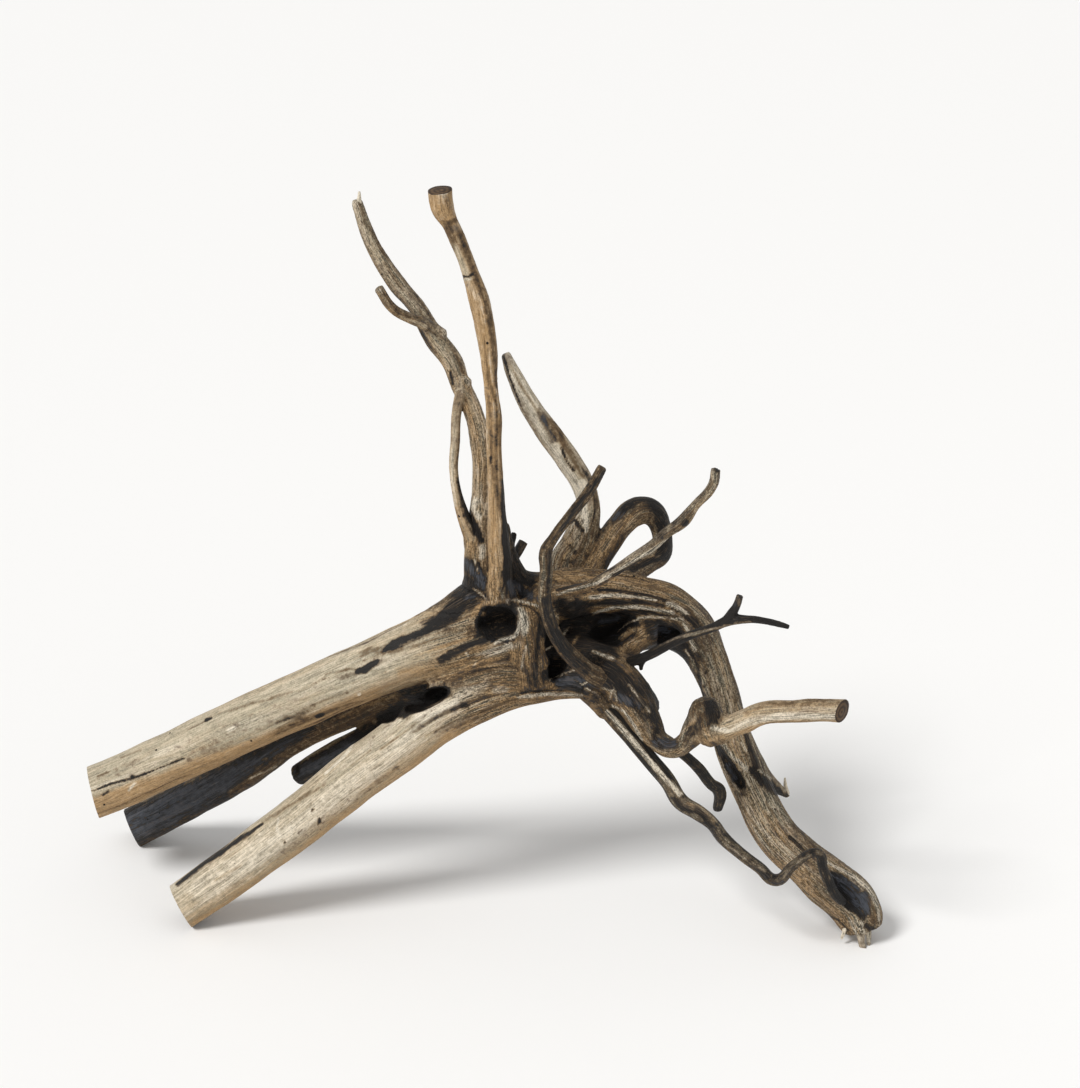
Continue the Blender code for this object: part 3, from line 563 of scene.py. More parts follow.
     ("black", 1, 0, (70.5, 194, 12.5), (75.5, 187.5, 8.8), (82, 184, 3.8)),
     ("tan", 1, 0.3, (84.5, 195.5, 5), (90.5, 199.5, 5.6), (96, 201, 5.6), (99.5, 195.5, 5), (92, 193, 6.2),
         (84.5, 187.5, 4.4)),
     ("brown", 0.9, -0.2, (80.5, 193, 1.9), (83, 189, 1.9)),
     ("brown", 0.9, -0.2, (85.5, 194, 1.2), (92, 197.5, 1.2), (98, 196, 1.2)),
     ("pale", 0.8, 0.4, (82.5, 199, 1.2), (88, 204, 1.6), (95.5, 207, 1.2))),
    (("top trunk", "trunk crown", "trunk web", "arc wall", "arc lobe", "black boss", "main root",
        "front root", "lower trunk", "middle trunk"),
     ("black", 1, 0, (47, 215, 8.8), (58, 211, 13.8), (62, 202.5, 13.8), (55.5, 194, 12.5), (67, 187.5, 8.8),
         (79.5, 184, 5)),
     ("black", 1, 0, (38, 201, 8.8), (39.5, 192.5, 10), (42.5, 180, 15), (52, 177.5, 8.8)),
     ("black", 1, 0, (35, 196, 5.6), (35, 184, 7.5), (38, 172.5, 7.5), (45.5, 174, 7.5)),
     ("brown", 0.7, 0, (48, 219, 3.1), (56, 219, 2.5)),
     ("pale", 0.9, 0.8, (49, 198, 1.9), (52, 202, 1.5)),
     ("tan", 0.9, 0.8, (55, 192.5, 2.5), (57.5, 196, 1.9)),
     ("pale", 0.9, 0.6, (37, 187.5, 1.2), (42, 190.5, 1.2)),
     ("pale", 0.95, 0.5, (67, 187, 1.9), (72.5, 184.5, 3.1), (79.5, 182, 2.5)),
     ("blue", 1, 0, (45, 167.5, 4.4), (54.5, 169, 6.9), (63, 169, 6.9), (68, 166, 4.4)),
     ("pale", 0.9, 0.5, (40.5, 169.5, 1.2), (49, 173, 1.4), (55.5, 175, 1.4), (64.5, 175, 1.2)),
     ("pale", 1, 0.3, (55.5, 169, 1.1), (60.5, 166, 1.1), (65.5, 169, 1)),
     ("pale", 1, 0.3, (62, 164, 1.1), (67, 162, 1.1), (72, 158, 1))),
    (("main root", "side stub"),
     ("black", 1, -0.4, (128, 187.5, 1.6), (132, 179, 1.9), (134, 169, 1.6), (134.5, 160, 1.2)),
     ("pale", 0.8, 0.2, (124.5, 188, 1.2), (129.5, 181, 1.2)),
     ("black", 1, -0.4, (124, 192, 2.5), (127, 190, 2.5)),
     ("pale", 0.8, 0.5, (128, 195, 2.5), (130.5, 187.5, 2.5)),
     ("brown", 0.7, -0.1, (134.5, 194, 1.2), (138, 178, 1.2), (142, 156, 1.2)),
     ("brown", 0.7, -0.1, (142, 187.5, 1.2), (148, 162.5, 1.2), (153, 144, 1.2)),
     ("brown", 0.8, 0, (148, 194, 2.5), (153, 175, 2.5), (157, 156, 2.5)),
     ("brown", 0.7, 0, (136, 184.5, 1.6), (139.5, 174, 1.9)),
     ("black", 1, -0.5, (138, 174, 1.9)),
     ("black", 1, -0.5, (137, 165, 1.9)),
     ("black", 1, -0.5, (135.5, 160, 1.9)),
     ("black", 0.9, -0.4, (142, 179, 1.5)),
     ("black", 0.9, -0.4, (145, 162.5, 1.5)),
     ("black", 0.9, -0.2, (162.5, 135.5, 3.1), (166, 124, 4.4), (170, 112.5, 3.8)),
     ("brown", 0.8, 0, (158, 134.5, 2.5), (162, 124, 3.1), (167, 114, 2.5)),
     ("pale", 0.9, 0.3, (159.5, 130, 1.1), (163, 125, 1.1)),
     ("black", 1, -0.6, (145.5, 128, 3.1), (149.5, 120.5, 5), (154.5, 112.5, 6.9), (159.5, 105, 6.2),
         (162, 98, 3.1)),
     ("blue", 1, 0, (151, 116, 3.8), (156, 107.5, 3.8)),
     ("pale", 0.95, 0.6, (147.5, 129, 1.2), (154.5, 121, 1.9), (162.5, 114, 1.9), (170.5, 105, 1.9)),
     ("tan", 0.5, 0, (164.5, 99, 7.5), (175, 82.5, 8.8), (187.5, 65.5, 8.8)),
     ("brown", 0.8, -0.2, (169.5, 111, 1.2), (181, 94, 1.9), (197, 72, 1.9)),
     ("brown", 0.7, -0.2, (158, 94, 1.2), (169, 77.5, 1.5), (181, 61, 1.5)),
     ("brown", 0.7, -0.2, (175, 92.5, 1.5), (187.5, 77.5, 1.5)),
     ("grey", 0.7, 0, (177, 94, 5.6), (187.5, 80, 5.6)),
     ("grey", 0.7, 0.2, (188, 64, 6.2), (194.5, 59, 6.2)),
     ("black", 0.95, -0.3, (189.5, 71, 1.6), (199, 62.5, 1.9), (204.5, 60, 1.9)),
     ("brown", 0.9, 0, (190.5, 80, 1.9), (206, 64, 1.9)),
     ("tan", 0.8, 0, (197, 46, 8.8), (206, 34, 8.8), (215.5, 24, 7.5), (228, 15, 6.2)),
     ("brown", 0.7, -0.2, (200, 50, 1.5), (209.5, 34.5, 1.5), (225, 20, 1.5)),
     ("black", 0.9, -0.3, (210.5, 24, 1.2), (220.5, 19, 1.2), (227, 12.5, 1.2)),
     ("black", 1, 0, (212, 50, 3.1), (218, 39, 5.6), (227, 29, 6.2), (235.5, 20.5, 3.8)),
     ("blue", 1, 0, (219.5, 45, 5), (227, 40, 10), (234.5, 32.5, 11.2), (237, 26, 7.5)),
     ("pale", 0.6, 0, (228, 45, 1.9), (235.5, 37.5, 1.9)),
     ("pale", 0.9, 0.4, (212.5, 56, 1.2), (220.5, 51, 1.9), (231, 45.5, 1.9), (239.5, 38, 1.9),
         (244.5, 29, 1.9), (246, 19, 1.9)),
     ("brown", 0.8, 0, (242.5, 26, 3.1), (243, 17.5, 3.8)),
     ("black", 0.9, -0.2, (238, 15, 3.8), (244.5, 12, 3.8)),
     ("pale", 1, 0.8, (227, 20, 1.1), (233, 9, 1.1)),
     ("pale", 1, 0.8, (234.5, 18, 1.1), (238, 8, 1.1)),
     ("pale", 1, 0.6, (230.5, 19, 1.1), (235.5, 9, 1.1)),
     ("black", 1, 0, (167, 112.5, 5.6), (174.5, 105, 5.6), (182, 99, 4.4)),
     ("pale", 0.8, 0.3, (170.5, 113, 1.2), (178, 107.5, 1.2))),
    (("front root", "root lump", "knuckle", "black boss", "peg"),
     ("tan", 0.6, 0, (85.5, 151, 6.2), (94.5, 141, 6.2), (100.5, 130, 5)),
     ("black", 1, 0, (75.5, 167.5, 8.8), (84.5, 166, 5), (93, 162.5, 3.8), (97.5, 155, 3.1),
         (104.5, 146, 3.8), (107.5, 137.5, 3.8)),
     ("black", 1, -0.3, (69.5, 179, 10), (79.5, 174, 11.2), (88, 167.5, 8.8), (94.5, 160, 6.2)),
     ("blue", 1, 0, (82.5, 158, 5), (90.5, 155, 5), (95.5, 152.5, 3.1)),
     ("blue", 1, 0, (108, 130, 5.6), (117, 129, 5.6)),
     ("pale", 0.7, 0.3, (73, 164, 1.1), (79, 162.5, 1.1), (77.5, 157, 1.1)),
     ("pale", 1, 0.3, (79.5, 166, 1.1), (82, 156, 1.1)),
     ("pale", 0.8, 0.3, (89.5, 166, 1.9), (96, 158, 2.5), (102, 149, 1.9)),
     ("pale", 0.9, 0.4, (79.5, 153, 1.2), (87, 149, 1.6), (93, 140, 1.6), (97.5, 131, 1.6)),
     ("brown", 0.8, -0.2, (90.5, 149, 1.2), (98, 137.5, 1.2), (103, 130, 1.2)),
     ("black", 0.95, -0.4, (104.5, 134.5, 1.2), (108, 130, 1.2), (110.5, 125.5, 1.2)),
     ("tan", 0.9, 0, (105.5, 124, 2.5), (114.5, 122.5, 2.5), (122, 124.5, 2.5)),
     ("brown", 0.8, 0, (123, 130, 3.8), (129.5, 136, 3.8), (133, 139, 3.1)),
     ("tan", 0.9, 0.2, (119.5, 132.5, 1.9), (125.5, 139, 1.9), (130.5, 144, 1.9)),
     ("grey", 0.7, 0, (129.5, 146, 3.1), (133, 150, 3.8)),
     ("umber", 1, 0, (130.5, 149, 5), (134, 152.5, 8.8), (137, 146, 8.8), (138, 140, 5)),
     ("black", 1, 0, (139.5, 155, 5.6), (142, 150, 7.5), (143, 144.5, 5.6)),
     ("black", 1, -0.9, (142, 155.5, 2.5), (144.5, 149.5, 3.1), (145, 145.5, 2.5)),
     ("brown", 0.9, 0, (138, 142.5, 3.1), (142, 144.5, 2.5)),
     ("tan", 0.7, 0, (137, 137.5, 3.8), (139.5, 132.5, 3.1))),
    (("peg", "knuckle"),
     ("umber", 0.6, 0, (162.5, 148, 3.1), (173, 152.5, 4.4), (190.5, 155.5, 5), (209.5, 155.5, 4.4),
         (220.5, 155.5, 3.8)),
     ("pale", 0.8, 0, (142, 139, 2.5), (152, 137, 3.1), (164.5, 142, 3.8), (181, 145.5, 3.8), (206, 146, 3.8),
         (227, 146, 4.4)),
     ("tan", 0.6, 0, (138, 131, 3.1), (147, 133, 2.5), (156, 135, 2.5), (172, 141, 3.1), (197, 143, 3.1),
         (222, 143, 2.5)),
     ("brown", 0.6, -0.2, (172, 149, 1), (187.5, 150.5, 1), (197, 151, 1)),
     ("brown", 0.5, -0.2, (156, 138, 1), (172, 145, 1))),
    (("thin root",),
     ("black", 1, 0, (64.5, 161, 6.2), (75.5, 154.5, 5.6), (85.5, 145.5, 3.8), (97, 132.5, 3.8),
         (106, 120, 3.8), (114.5, 107.5, 2.5)),
     ("pale", 0.95, 0.2, (73, 152.5, 2.5), (79.5, 145.5, 3.8), (90.5, 132.5, 3.8), (102, 119, 3.8),
         (112, 107.5, 3.8), (122, 98, 3.1)),
     ("black", 0.9, 0, (118, 95, 1.9), (123, 88, 2.5), (134.5, 85.5, 1.9), (140.5, 77.5, 1.9)),
     ("tan", 0.7, 0, (127, 92, 1.9), (135.5, 89.5, 1.9), (143, 81, 1.9)),
     ("pale", 0.4, 0.2, (148, 67.5, 1.6), (162.5, 57.5, 1.6), (174.5, 49, 1.6)),
     ("black", 0.9, 0, (150.5, 72.5, 1.9), (165.5, 61, 2.5), (179.5, 51, 2.5)),
     ("black", 1, -0.2, (180.5, 46, 2.5)),
     ("black", 0.9, 0, (204.5, 60.5, 3.1), (209.5, 54, 5.6), (213, 44, 5.6), (218, 35.5, 5.6), (223, 30, 5))),
    (("right twig", "twig fork"),
     ("black", 0.7, 0, (75.5, 179, 12.5), (89.5, 180, 8.8), (118, 193, 7.5), (142.5, 202, 7.5),
         (164, 207.5, 5)),
     ("black", 1, 0, (75.5, 179, 10), (89.5, 179, 5), (103, 184, 3.1), (118, 191, 1.9), (128, 195.5, 1.9)),
     ("pale", 0.45, 0.2, (103, 187.5, 1.2), (118, 195, 1.9), (134.5, 199, 1.9), (150.5, 203, 1.9),
         (165.5, 205.5, 1.9)),
     ("black", 0.9, 0, (142, 205, 1.9), (156, 209.5, 2.5), (167, 209, 1.2), (182, 206, 1.2))),
)

# The columns of LOOKS, and the further ones of the painted weather and light: brown, and a painted blue sheen
TONE, BLACK, PALE, RIDGES = range(4)
BROWN, BLUE_SHEEN = 3, 4

# What each paint leaves: tone, black, pale, brown and the painted blue sheen; None keeps what is there
PAINTS = {
    "black": (None, 1.1, 0, None, 0),
    # The blue paint lays black stain under a painted blue sheen, which stands in for reflected light
    "blue": (None, 1.1, 0, None, 1.0),
    "pale": (0.4, -0.3, 1.15, -0.2, 0),
    "tan": (0.95, -0.15, 0.15, 0.05, 0),
    "grey": (0.1, -0.2, 0.3, 0.1, 0),
    "brown": (None, None, 0, 0.9, 0),
    "umber": (0.8, 0.45, 0, 0.75, 0),
}
# How softly each paint fades at its edges, as a share of the mark's width
FADES = {"black": 0.22, "blue": 0.45, "pale": 0.3, "tan": 0.55, "grey": 0.55, "brown": 0.4, "umber": 0.4}
# Edges of marks in mm: the sharpest and softest, the most ragged, and how far a mark can spread past its line
SHARPEST = 0.3
SOFTEST = 3.5
RAGGED_SHARE = 0.4
MOST_RAGGED = 2.2
MARK_FRINGE = 3
# The deepest and highest that marks can go, in mm, and how a surface has to face the eye to show them
MARK_LIMITS = (-2.0, 1.6)
FACING = (-0.1, 0.2)

# Noises drawn out along the grain: width and length of their cells in mm, seed and layers
GRAIN_NOISES = {
    "flutes": (6.5, 90, 4, 2),
    "threads": (2.6, 34, 5, 2),
    "crack lines": (6.5, 110, 6, 2),
    "cracked places": (16, 60, 7, 2),
    "stain": (9, 60, 11, 3),
    "tone": (12, 90, 12, 2),
    "bleach": (6, 50, 14, 2),
    "brown": (3.2, 80, 15, 3),
    "ragged edges": (1.8, 12, 50, 3),
}
# Noises alike in every direction: width of their cells in mm, seed and layers
EVEN_NOISES = {"lumps": (24, 3, 2), "tone": (30, 13, 3), "stain": (28, 17, 3), "blue": (14, 19, 3)}
# The lattice of random values behind them, and the steps that set seeds and layers apart
NOISE_SEED = 7
LATTICE_CELLS = 64
SEED_STEP = 7.31
LAYER_STEP = 31

# Relief in mm: the depth of flutes, fibre threads and cracks, and the level that halves flutes and threads
FLUTE_DEPTH, FLUTE_LEVEL = 1.3, 0.45
THREAD_DEPTH, THREAD_LEVEL = 0.55, 0.4
CRACK_DEPTH = 0.6
# The share of lumps and threads that even a smooth limb has, and how much smaller all relief is on twigs
LEAST_LUMPS = 0.5
LEAST_THREADS = 0.35
TWIG_RELIEF = 0.45
# Where cracks open and how wide, as levels of their noises, and how black they are
CRACKED = (0.05, 0.35)
CRACK_LINE = (0.03, 0.26)
CRACK_SOOT = 0.6

# Where weathering and painted light start and are full: weathering round the heart in metres, painted shade
# past a hollow's rim, in ridged limbs, darker wood in crotches in mm, painted shade on undersides, at seams
# between limbs in mm, and how far sunken and raised spots count for painted pit shade and crest highlights,
# in mm
HEART_REACH = (0.05, 0.105)
HOLLOW_RIM = (1.0, 1.18)
RIDGED = (0.25, 0.95)
CROTCH = (1.0, 9.0)
UNDERSIDE = (-0.3, 0.9)
SEAM = (0.2, 3.0)
SEAM_LEAST = 0.45
SUNK_LIMITS = (-0.5, 0.8)
SUNK_ROUNDS = 4

# sRGB colours
COLOURS = {
    "grey beige": "#B2A78F",
    "honey tan": "#A8875D",
    "bleached": "#DDD3C0",
    "old brown": "#5C4932",
    "stain edge": "#57432E",
    # A painted sheen: light reflected off the black stains, painted in as colour
    "soot": "#151312",
    "painted blue sheen": "#53575F",
    "worn fibres": "#63523F",
    "beetle hole": "#1A1410",
    "cut wood": "#3A2A1C",
    "yearly ring": "#604A32",
    "cut stain": "#241911",
    "white card": "#F4F3F1",
    "daylight": "#FFFFFF",
}
# Where each look of the wood starts and is full, and its strength at both ends
RAMPS = {
    "contrast": (0.0, 1.0, 0.4, 1.6),
    "tone": (-0.1, 1.1, 0.0, 1.0),
    "pale": (0.1, 1.1, 0.0, 0.8),
    "brown": (0.2, 0.95, 0.0, 0.85),
    "shade": (0.4, 1.25, 0.22, 1.35),
    "blue": (0.4, 1.4, 0.0, 1.0),
    "worn": (0.06, 0.3, 0.0, 0.6),
    "stain edge": (0.12, 0.5, 0.0, 0.7),
    "black": (0.42, 0.85, 0.0, 0.98),
    "roughness": (0.0, 1.0, 0.8, 0.5),
    "hole": (0.07, 0.1, 1.0, 0.0),
    "holed place": (0.78, 0.8, 0.0, 1.0),
    "cut stain": (0.45, 0.7, 0.0, 0.7),
}
# How far the fine noises push each look of the wood up or down before its ramp, and the relief of the surface
PUSHES = {
    "tone": {"strands": 2.0, "mottles": 1.0, "fibres": 1.0},
    "pale": {"fibres": 2.4, "mottles": 1.2, "strands": 1.2},
    "brown": {"strands": 2.6, "fibres": 2.2, "mottles": 1.6},
    "shade": {"fibres": 2.2, "strands": 1.2, "specks": 1.6, "mottles": 0.4, "rough": -0.05},
    "blue": {"mottles": 1.2, "strands": 1.5, "fibres": 1.5},
    "worn": {"fibres": 1.0, "strands": 0.7},
    "black": {"fibres": 1.6, "strands": 1.6, "mottles": 1.6},
    "relief": {"strands": 1.6, "fibres": 1.6, "specks": 0.6, "hole": -1.2},
}
EVEN_SHADE = 0.92
# Cells of these noises: width in mm, along the grain also length in mm, and detail; and how rough they are
FIBRES = (0.7, 12, 3.0)
STRANDS = (2.4, 50, 4.0)
MOTTLES = (4, 5.0)
SPECKS = (1.1, 3.0)
CUT_MOTTLES = (2, 4.0)
GRAIN_ROUGHNESS = 0.6
EVEN_ROUGHNESS = 0.65
# Spacing of beetle holes and yearly rings, and the height of bumps, in mm
BEETLE_SPACING = 9
RING_SPACING = 10
BUMP_HEIGHT = 1.1
CUT_BUMP_HEIGHT = 0.3

# The stage: half the floor's width and the picture's height at the aim in metres, the sensor in mm, the
# strength of the daylight, and each light's kind, place, angle or width, and power
FLOOR_REACH = 20.0
PICTURE_HEIGHT = 0.680
SENSOR = 36
DAYLIGHT = 0.52
LIGHTS = {
    "key": ("SUN", (-0.9, -0.75, 1.6), math.radians(18), 2.3),
    "fill": ("AREA", (1.3, -1.0, 0.9), 1.4, 2),
}


# Places

def on_sight_line(across, up, back):
    """The world point that is seen there and lies that far back; all in mm, and the point in metres."""
    right = across * MM - AIM_ACROSS
    rise = up * MM - AIM_UP
    depth = EYE_DISTANCE * math.cos(VIEW_ELEVATION)
    reach = (back * MM + depth) / (depth + rise * math.sin(VIEW_ELEVATION))
    eye_height = EYE_DISTANCE * math.sin(VIEW_ELEVATION)
    height = AIM_HEIGHT + eye_height + reach * (rise * math.cos(VIEW_ELEVATION) - eye_height)
    return Vector((AIM_ACROSS + reach * right, back * MM, height)) - Vector(ORIGIN) * MM, reach


AIM = Vector((AIM_ACROSS, 0, AIM_HEIGHT)) - Vector(ORIGIN) * MM
GAZE = Vector((0, math.cos(VIEW_ELEVATION), -math.sin(VIEW_ELEVATION)))
EYE = AIM - GAZE * EYE_DISTANCE
# The knotted heart of the root, where the limbs meet
HEART = np.array(on_sight_line(45, 195, -15)[0])


def as_seen(points):
    """Where each point is seen: across and up in mm."""
    away = points - np.array(EYE)
    reach = away @ np.array(GAZE) / EYE_DISTANCE
    across = away[:, 0] / reach + AIM_ACROSS
    up = away @ np.array((0, math.sin(VIEW_ELEVATION), math.cos(VIEW_ELEVATION))) / reach + AIM_UP
    return np.stack((across, up), axis=1) / MM


# Meshes

def make_object(name, data):
    made = bpy.data.objects.new(name, data)
    bpy.context.scene.collection.objects.link(made)
    return made


def make_solid(name, shape):
    """An object from a working mesh, which is freed."""
    mesh = bpy.data.meshes.new(name)
    shape.to_mesh(mesh)
    shape.free()
    return make_object(name, mesh)


def evaluated_mesh(made):
    return bpy.data.meshes.new_from_object(made.evaluated_get(bpy.context.evaluated_depsgraph_get()))


def apply_modifiers(made):
    mesh = evaluated_mesh(made)
    made.modifiers.clear()
    made.data = mesh


def make_limb(name, route):
    """A round tube along the route, as a closed mesh."""
    curve = bpy.data.curves.new(name, "CURVE")
    curve.dimensions = "3D"
    curve.resolution_u = TUBE_RINGS
    curve.bevel_depth = 1.0
    curve.bevel_resolution = TUBE_SIDES
    curve.use_fill_caps = True
    spline = curve.splines.new("BEZIER")
    spline.bezier_points.add(len(route) - 1)
    for knot, (across, up, back, width) in zip(spline.bezier_points, route):
        knot.co, reach = on_sight_line(across, up, back)
        knot.radius = (width + WIDTH_GAIN) * MM * reach / 2
        knot.handle_left_type = "AUTO"
        knot.handle_right_type = "AUTO"
    tube = make_object(name, curve)
    mesh = evaluated_mesh(tube)
    bpy.data.objects.remove(tube)
    return mesh


def join_limbs(name, limbs):
    """The tubes of these limbs in one mesh, still overlapping."""
    joined = bmesh.new()
    for limb_name in limbs:
        limb = make_limb(limb_name, LIMBS[limb_name])
        joined.from_mesh(limb)
        bpy.data.meshes.remove(limb)
    bmesh.ops.remove_doubles(joined, verts=joined.verts, dist=SAME_SPOT)
    bmesh.ops.recalc_face_normals(joined, faces=joined.faces)
    return make_solid(name, joined)


def add_skin(lumps, voxel):
    """Joins overlapping lumps under one skin."""
    skin = lumps.modifiers.new("one skin", "REMESH")
    skin.mode = "VOXEL"
    skin.voxel_size = voxel


def add_flow(made, rounds):
    """Lets the surface flow over crotches and steps."""
    flow = made.modifiers.new("crotches flow", "SMOOTH")
    flow.factor = FLOW_SHARE
    flow.iterations = rounds


def cut_away(made, cutter):
    """Takes the cutter's space from the object, and the cutter from the scene."""
    cut = made.modifiers.new("cut", "BOOLEAN")
    cut.operation = "DIFFERENCE"
    cut.solver = "EXACT"
    cut.object = cutter
    apply_modifiers(made)
    bpy.data.objects.remove(cutter)


def saw_plane(name):
    """The middle of a sawn end and the way its waste lies, in metres."""
    (across, up, back), (right, rise, away), _ = SAWN_ENDS[name]
    place, _ = on_sight_line(across, up, back)
    toward = Vector((right, rise * math.sin(VIEW_ELEVATION) + away, rise * math.cos(VIEW_ELEVATION)))
    return place, toward.normalized()


def make_saw(names):
    """The waste blocks of these sawn ends."""
    blocks = bmesh.new()
    for name in names:
        place, toward = saw_plane(name)
        width = SAWN_ENDS[name][2] * MM
        turn = toward.to_track_quat("Z", "Y").to_matrix().to_4x4()
        centre = Matrix.Translation(place + toward * (width / 2))
        bmesh.ops.create_cube(blocks, size=width, matrix=centre @ turn)
    return make_solid("saw", blocks)


def hollow_shapes():
    """Where each hollow lies and its size, square to the line of sight, for a ball of radius 1."""
    facing = Matrix.Rotation(math.radians(90) - VIEW_ELEVATION, 4, "X")
    for (across, up, back), (long, short, deep), turn in HOLLOWS.values():
        place, _ = on_sight_line(across, up, back)
        shape = Matrix.Diagonal((long * MM, short * MM, deep * MM, 1.0))
        yield Matrix.Translation(place) @ facing @ Matrix.Rotation(math.radians(turn), 4, "Z") @ shape


def make_gouge():
    """All hollows as one solid."""
    lumps = bmesh.new()
    for shape in hollow_shapes():
        bmesh.ops.create_icosphere(lumps, subdivisions=GOUGE_FINENESS, radius=1.0, matrix=shape)
    gouge = make_solid("gouge", lumps)
    add_skin(gouge, BODY_VOXEL)
    return gouge


# The grain, which follows each limb

def smooth_route(route):
    """Centres, radii and lengths along a smooth curve through the route, in metres."""
    knots = []
    for across, up, back, width in route:
        place, reach = on_sight_line(across, up, back)
        knots.append((*place, (width + WIDTH_GAIN) * MM * reach / 2))
    knots = np.array(knots)
    # A Catmull-Rom curve, with one knot more at either end
    padded = np.vstack((2 * knots[0] - knots[1], knots, 2 * knots[-1] - knots[-2]))
    rows = []
    for before, start, end, after in zip(padded, padded[1:], padded[2:], padded[3:]):
        for t in np.linspace(0, 1, ROUTE_STEPS, endpoint=False):
            square = 2 * before - 5 * start + 4 * end - after
            cube = 3 * start - before - 3 * end + after
            rows.append(start + 0.5 * ((end - before) * t + square * t**2 + cube * t**3))
    rows = np.array(rows + [knots[-1]])
    strides = np.linalg.norm(np.diff(rows[:, :3], axis=0), axis=1)
    return rows[:, :3], rows[:, 3], np.concatenate(([0], np.cumsum(strides)))


def carried_frames(centres):
    """Along, side and top directions that turn with the curve and never twist."""
    along = np.gradient(centres, axis=0)
    along /= np.linalg.norm(along, axis=1)[:, None]
    side = np.cross(along[0], SIDE_HINT)
    sides = []
    for direction in along:
        side = side - direction * (side @ direction)
        side = side / np.linalg.norm(side)
        sides.append(side)
    sides = np.array(sides)
    return along, sides, np.cross(along, sides)


class Limb:
    """A limb's centre line, for reading the grain at any point near it."""

    def __init__(self, number, name):
        self.name = name
        self.look = np.array(LOOKS[name])
        self.centres, self.radii, self.lengths = smooth_route(LIMBS[name])
        self.along, self.sides, self.tops = carried_frames(self.centres)
        self.start = LIMB_SPACING * number
        edge = self.radii.max() + REACH_OF_LIMB
        self.low = self.centres.min(axis=0) - edge
        self.high = self.centres.max(axis=0) + edge

    def read(self, points):
        """How far each point lies outside the limb, and its side, top and length on it, in metres."""
        gaps = np.full(len(points), FAR)
        flow = np.zeros((len(points), 3))
        near = np.flatnonzero(np.all((points > self.low) & (points < self.high), axis=1))
        if len(near) == 0:
            return gaps, flow
        here = points[near]
        spans = np.sum(here**2, axis=1)[:, None] - 2 * here @ self.centres.T + np.sum(self.centres**2, axis=1)
        spans = np.sqrt(np.maximum(spans, 0)) - self.radii
        nearest = spans.argmin(axis=1)
        offset = here - self.centres[nearest]
        along, side, top = (np.einsum("ij,ij->i", offset, directions[nearest])
                            for directions in (self.along, self.sides, self.tops))
        inner = (nearest > 0) & (nearest < len(self.centres) - 1)
        beyond = np.where(inner, 0, along)
        gaps[near] = np.sqrt(side**2 + top**2 + beyond**2) - self.radii[nearest]
        flow[near] = np.stack((side, top, self.lengths[nearest] + along + self.start), axis=1)
        return gaps, flow


LIMBS.update(SPLINTERS)
SKELETON = [Limb(number, name) for number, name in enumerate(LIMBS)]

LATTICE = np.random.default_rng(NOISE_SEED).uniform(-1, 1, (LATTICE_CELLS,) * 3).astype(np.float32)


def noise(points, seed):
    """Smooth noise from -1 to 1, with one cell to each unit."""
    points = points + seed * SEED_STEP
    cell = np.floor(points).astype(np.int32)
    part = (points - cell).astype(np.float32)
    part = part * part * (3 - 2 * part)
    x0, y0, z0 = (cell % LATTICE_CELLS).T
    x1, y1, z1 = ((cell + 1) % LATTICE_CELLS).T
    x, y, z = part.T
    low, high = (((LATTICE[x0, y0, level] * (1 - x) + LATTICE[x1, y0, level] * x) * (1 - y)
                  + (LATTICE[x0, y1, level] * (1 - x) + LATTICE[x1, y1, level] * x) * y)
                 for level in (z0, z1))
    return low * (1 - z) + high * z


def layered(points, seed, layers):
    """Noise with finer and weaker layers on top."""
    total = np.zeros(len(points))
    for layer in range(layers):
        total += noise(points * 2**layer, seed + LAYER_STEP * layer) / 2**layer
    return total / (2 - 2**(1 - layers))


def even_noise(points, kind):
    """Noise alike in every direction."""
    width, seed, layers = EVEN_NOISES[kind]
    return layered(points / (width * MM), seed, layers)


def ramp(value, low, high):
    """A smooth step from 0 at low to 1 at high."""
    t = np.clip((value - low) / (high - low), 0, 1)
    return t * t * (3 - 2 * t)


class Grain:
    """The two nearest limbs of each point, and how far each of them rules."""

    def __init__(self, points, names):
        self.limbs = [limb for limb in SKELETON if limb.name in names]
        read = [limb.read(points) for limb in self.limbs]
        depths = np.array([gaps for gaps, _ in read])
        self.order = np.argsort(depths, axis=0)[:2]
        rows = np.arange(len(points))
        first, second = (depths[place, rows] for place in self.order)
        self.gap = (second - first) / MM
        rule = 0.5 + 0.5 * np.clip(self.gap / MERGE_WIDTH, 0, 1)
        flows = np.array([flow for _, flow in read])
        looks = np.array([limb.look for limb in self.limbs])
        self.layers = [(flows[place, rows], looks[place], share)
                       for place, share in zip(self.order, (rule, 1 - rule))]
        self.fillet = WELD * np.log(np.sum(np.exp((first - depths) / WELD), axis=0))

    def look(self, column):
        return sum(look[:, column] * share for _, look, share in self.layers)

    def noise(self, kind):
        """Noise drawn out along the grain."""
        width, length, seed, layers = GRAIN_NOISES[kind]
        scale = np.array((1 / width, 1 / width, 1 / length)) / MM
        return sum(layered(flow * scale, seed, layers) * share for flow, _, share in self.layers)

    def flow(self):
        return self.layers[0][0]

    def on(self, names):
        """Which points belong to these limbs."""
        wanted = np.array([limb.name in names for limb in self.limbs])
        return wanted[self.order[0]] | (wanted[self.order[1]] & (self.gap < MERGE_WIDTH))


def line_gap(seen, line):
    """How far outside a line of changing width each seen spot lies, in mm."""
    across, up = seen.T
    gaps = []
    for (x0, y0, w0), (x1, y1, w1) in zip(line, line[1:] if len(line) > 1 else line):
        run = np.array((x1 - x0, y1 - y0))
        t = np.clip(((across - x0) * run[0] + (up - y0) * run[1]) / (run @ run or 1), 0, 1)
        reach = np.hypot(across - x0 - t * run[0], up - y0 - t * run[1])
        gaps.append(reach - (w0 + (w1 - w0) * t) / 2)
    return np.min(gaps, axis=0)


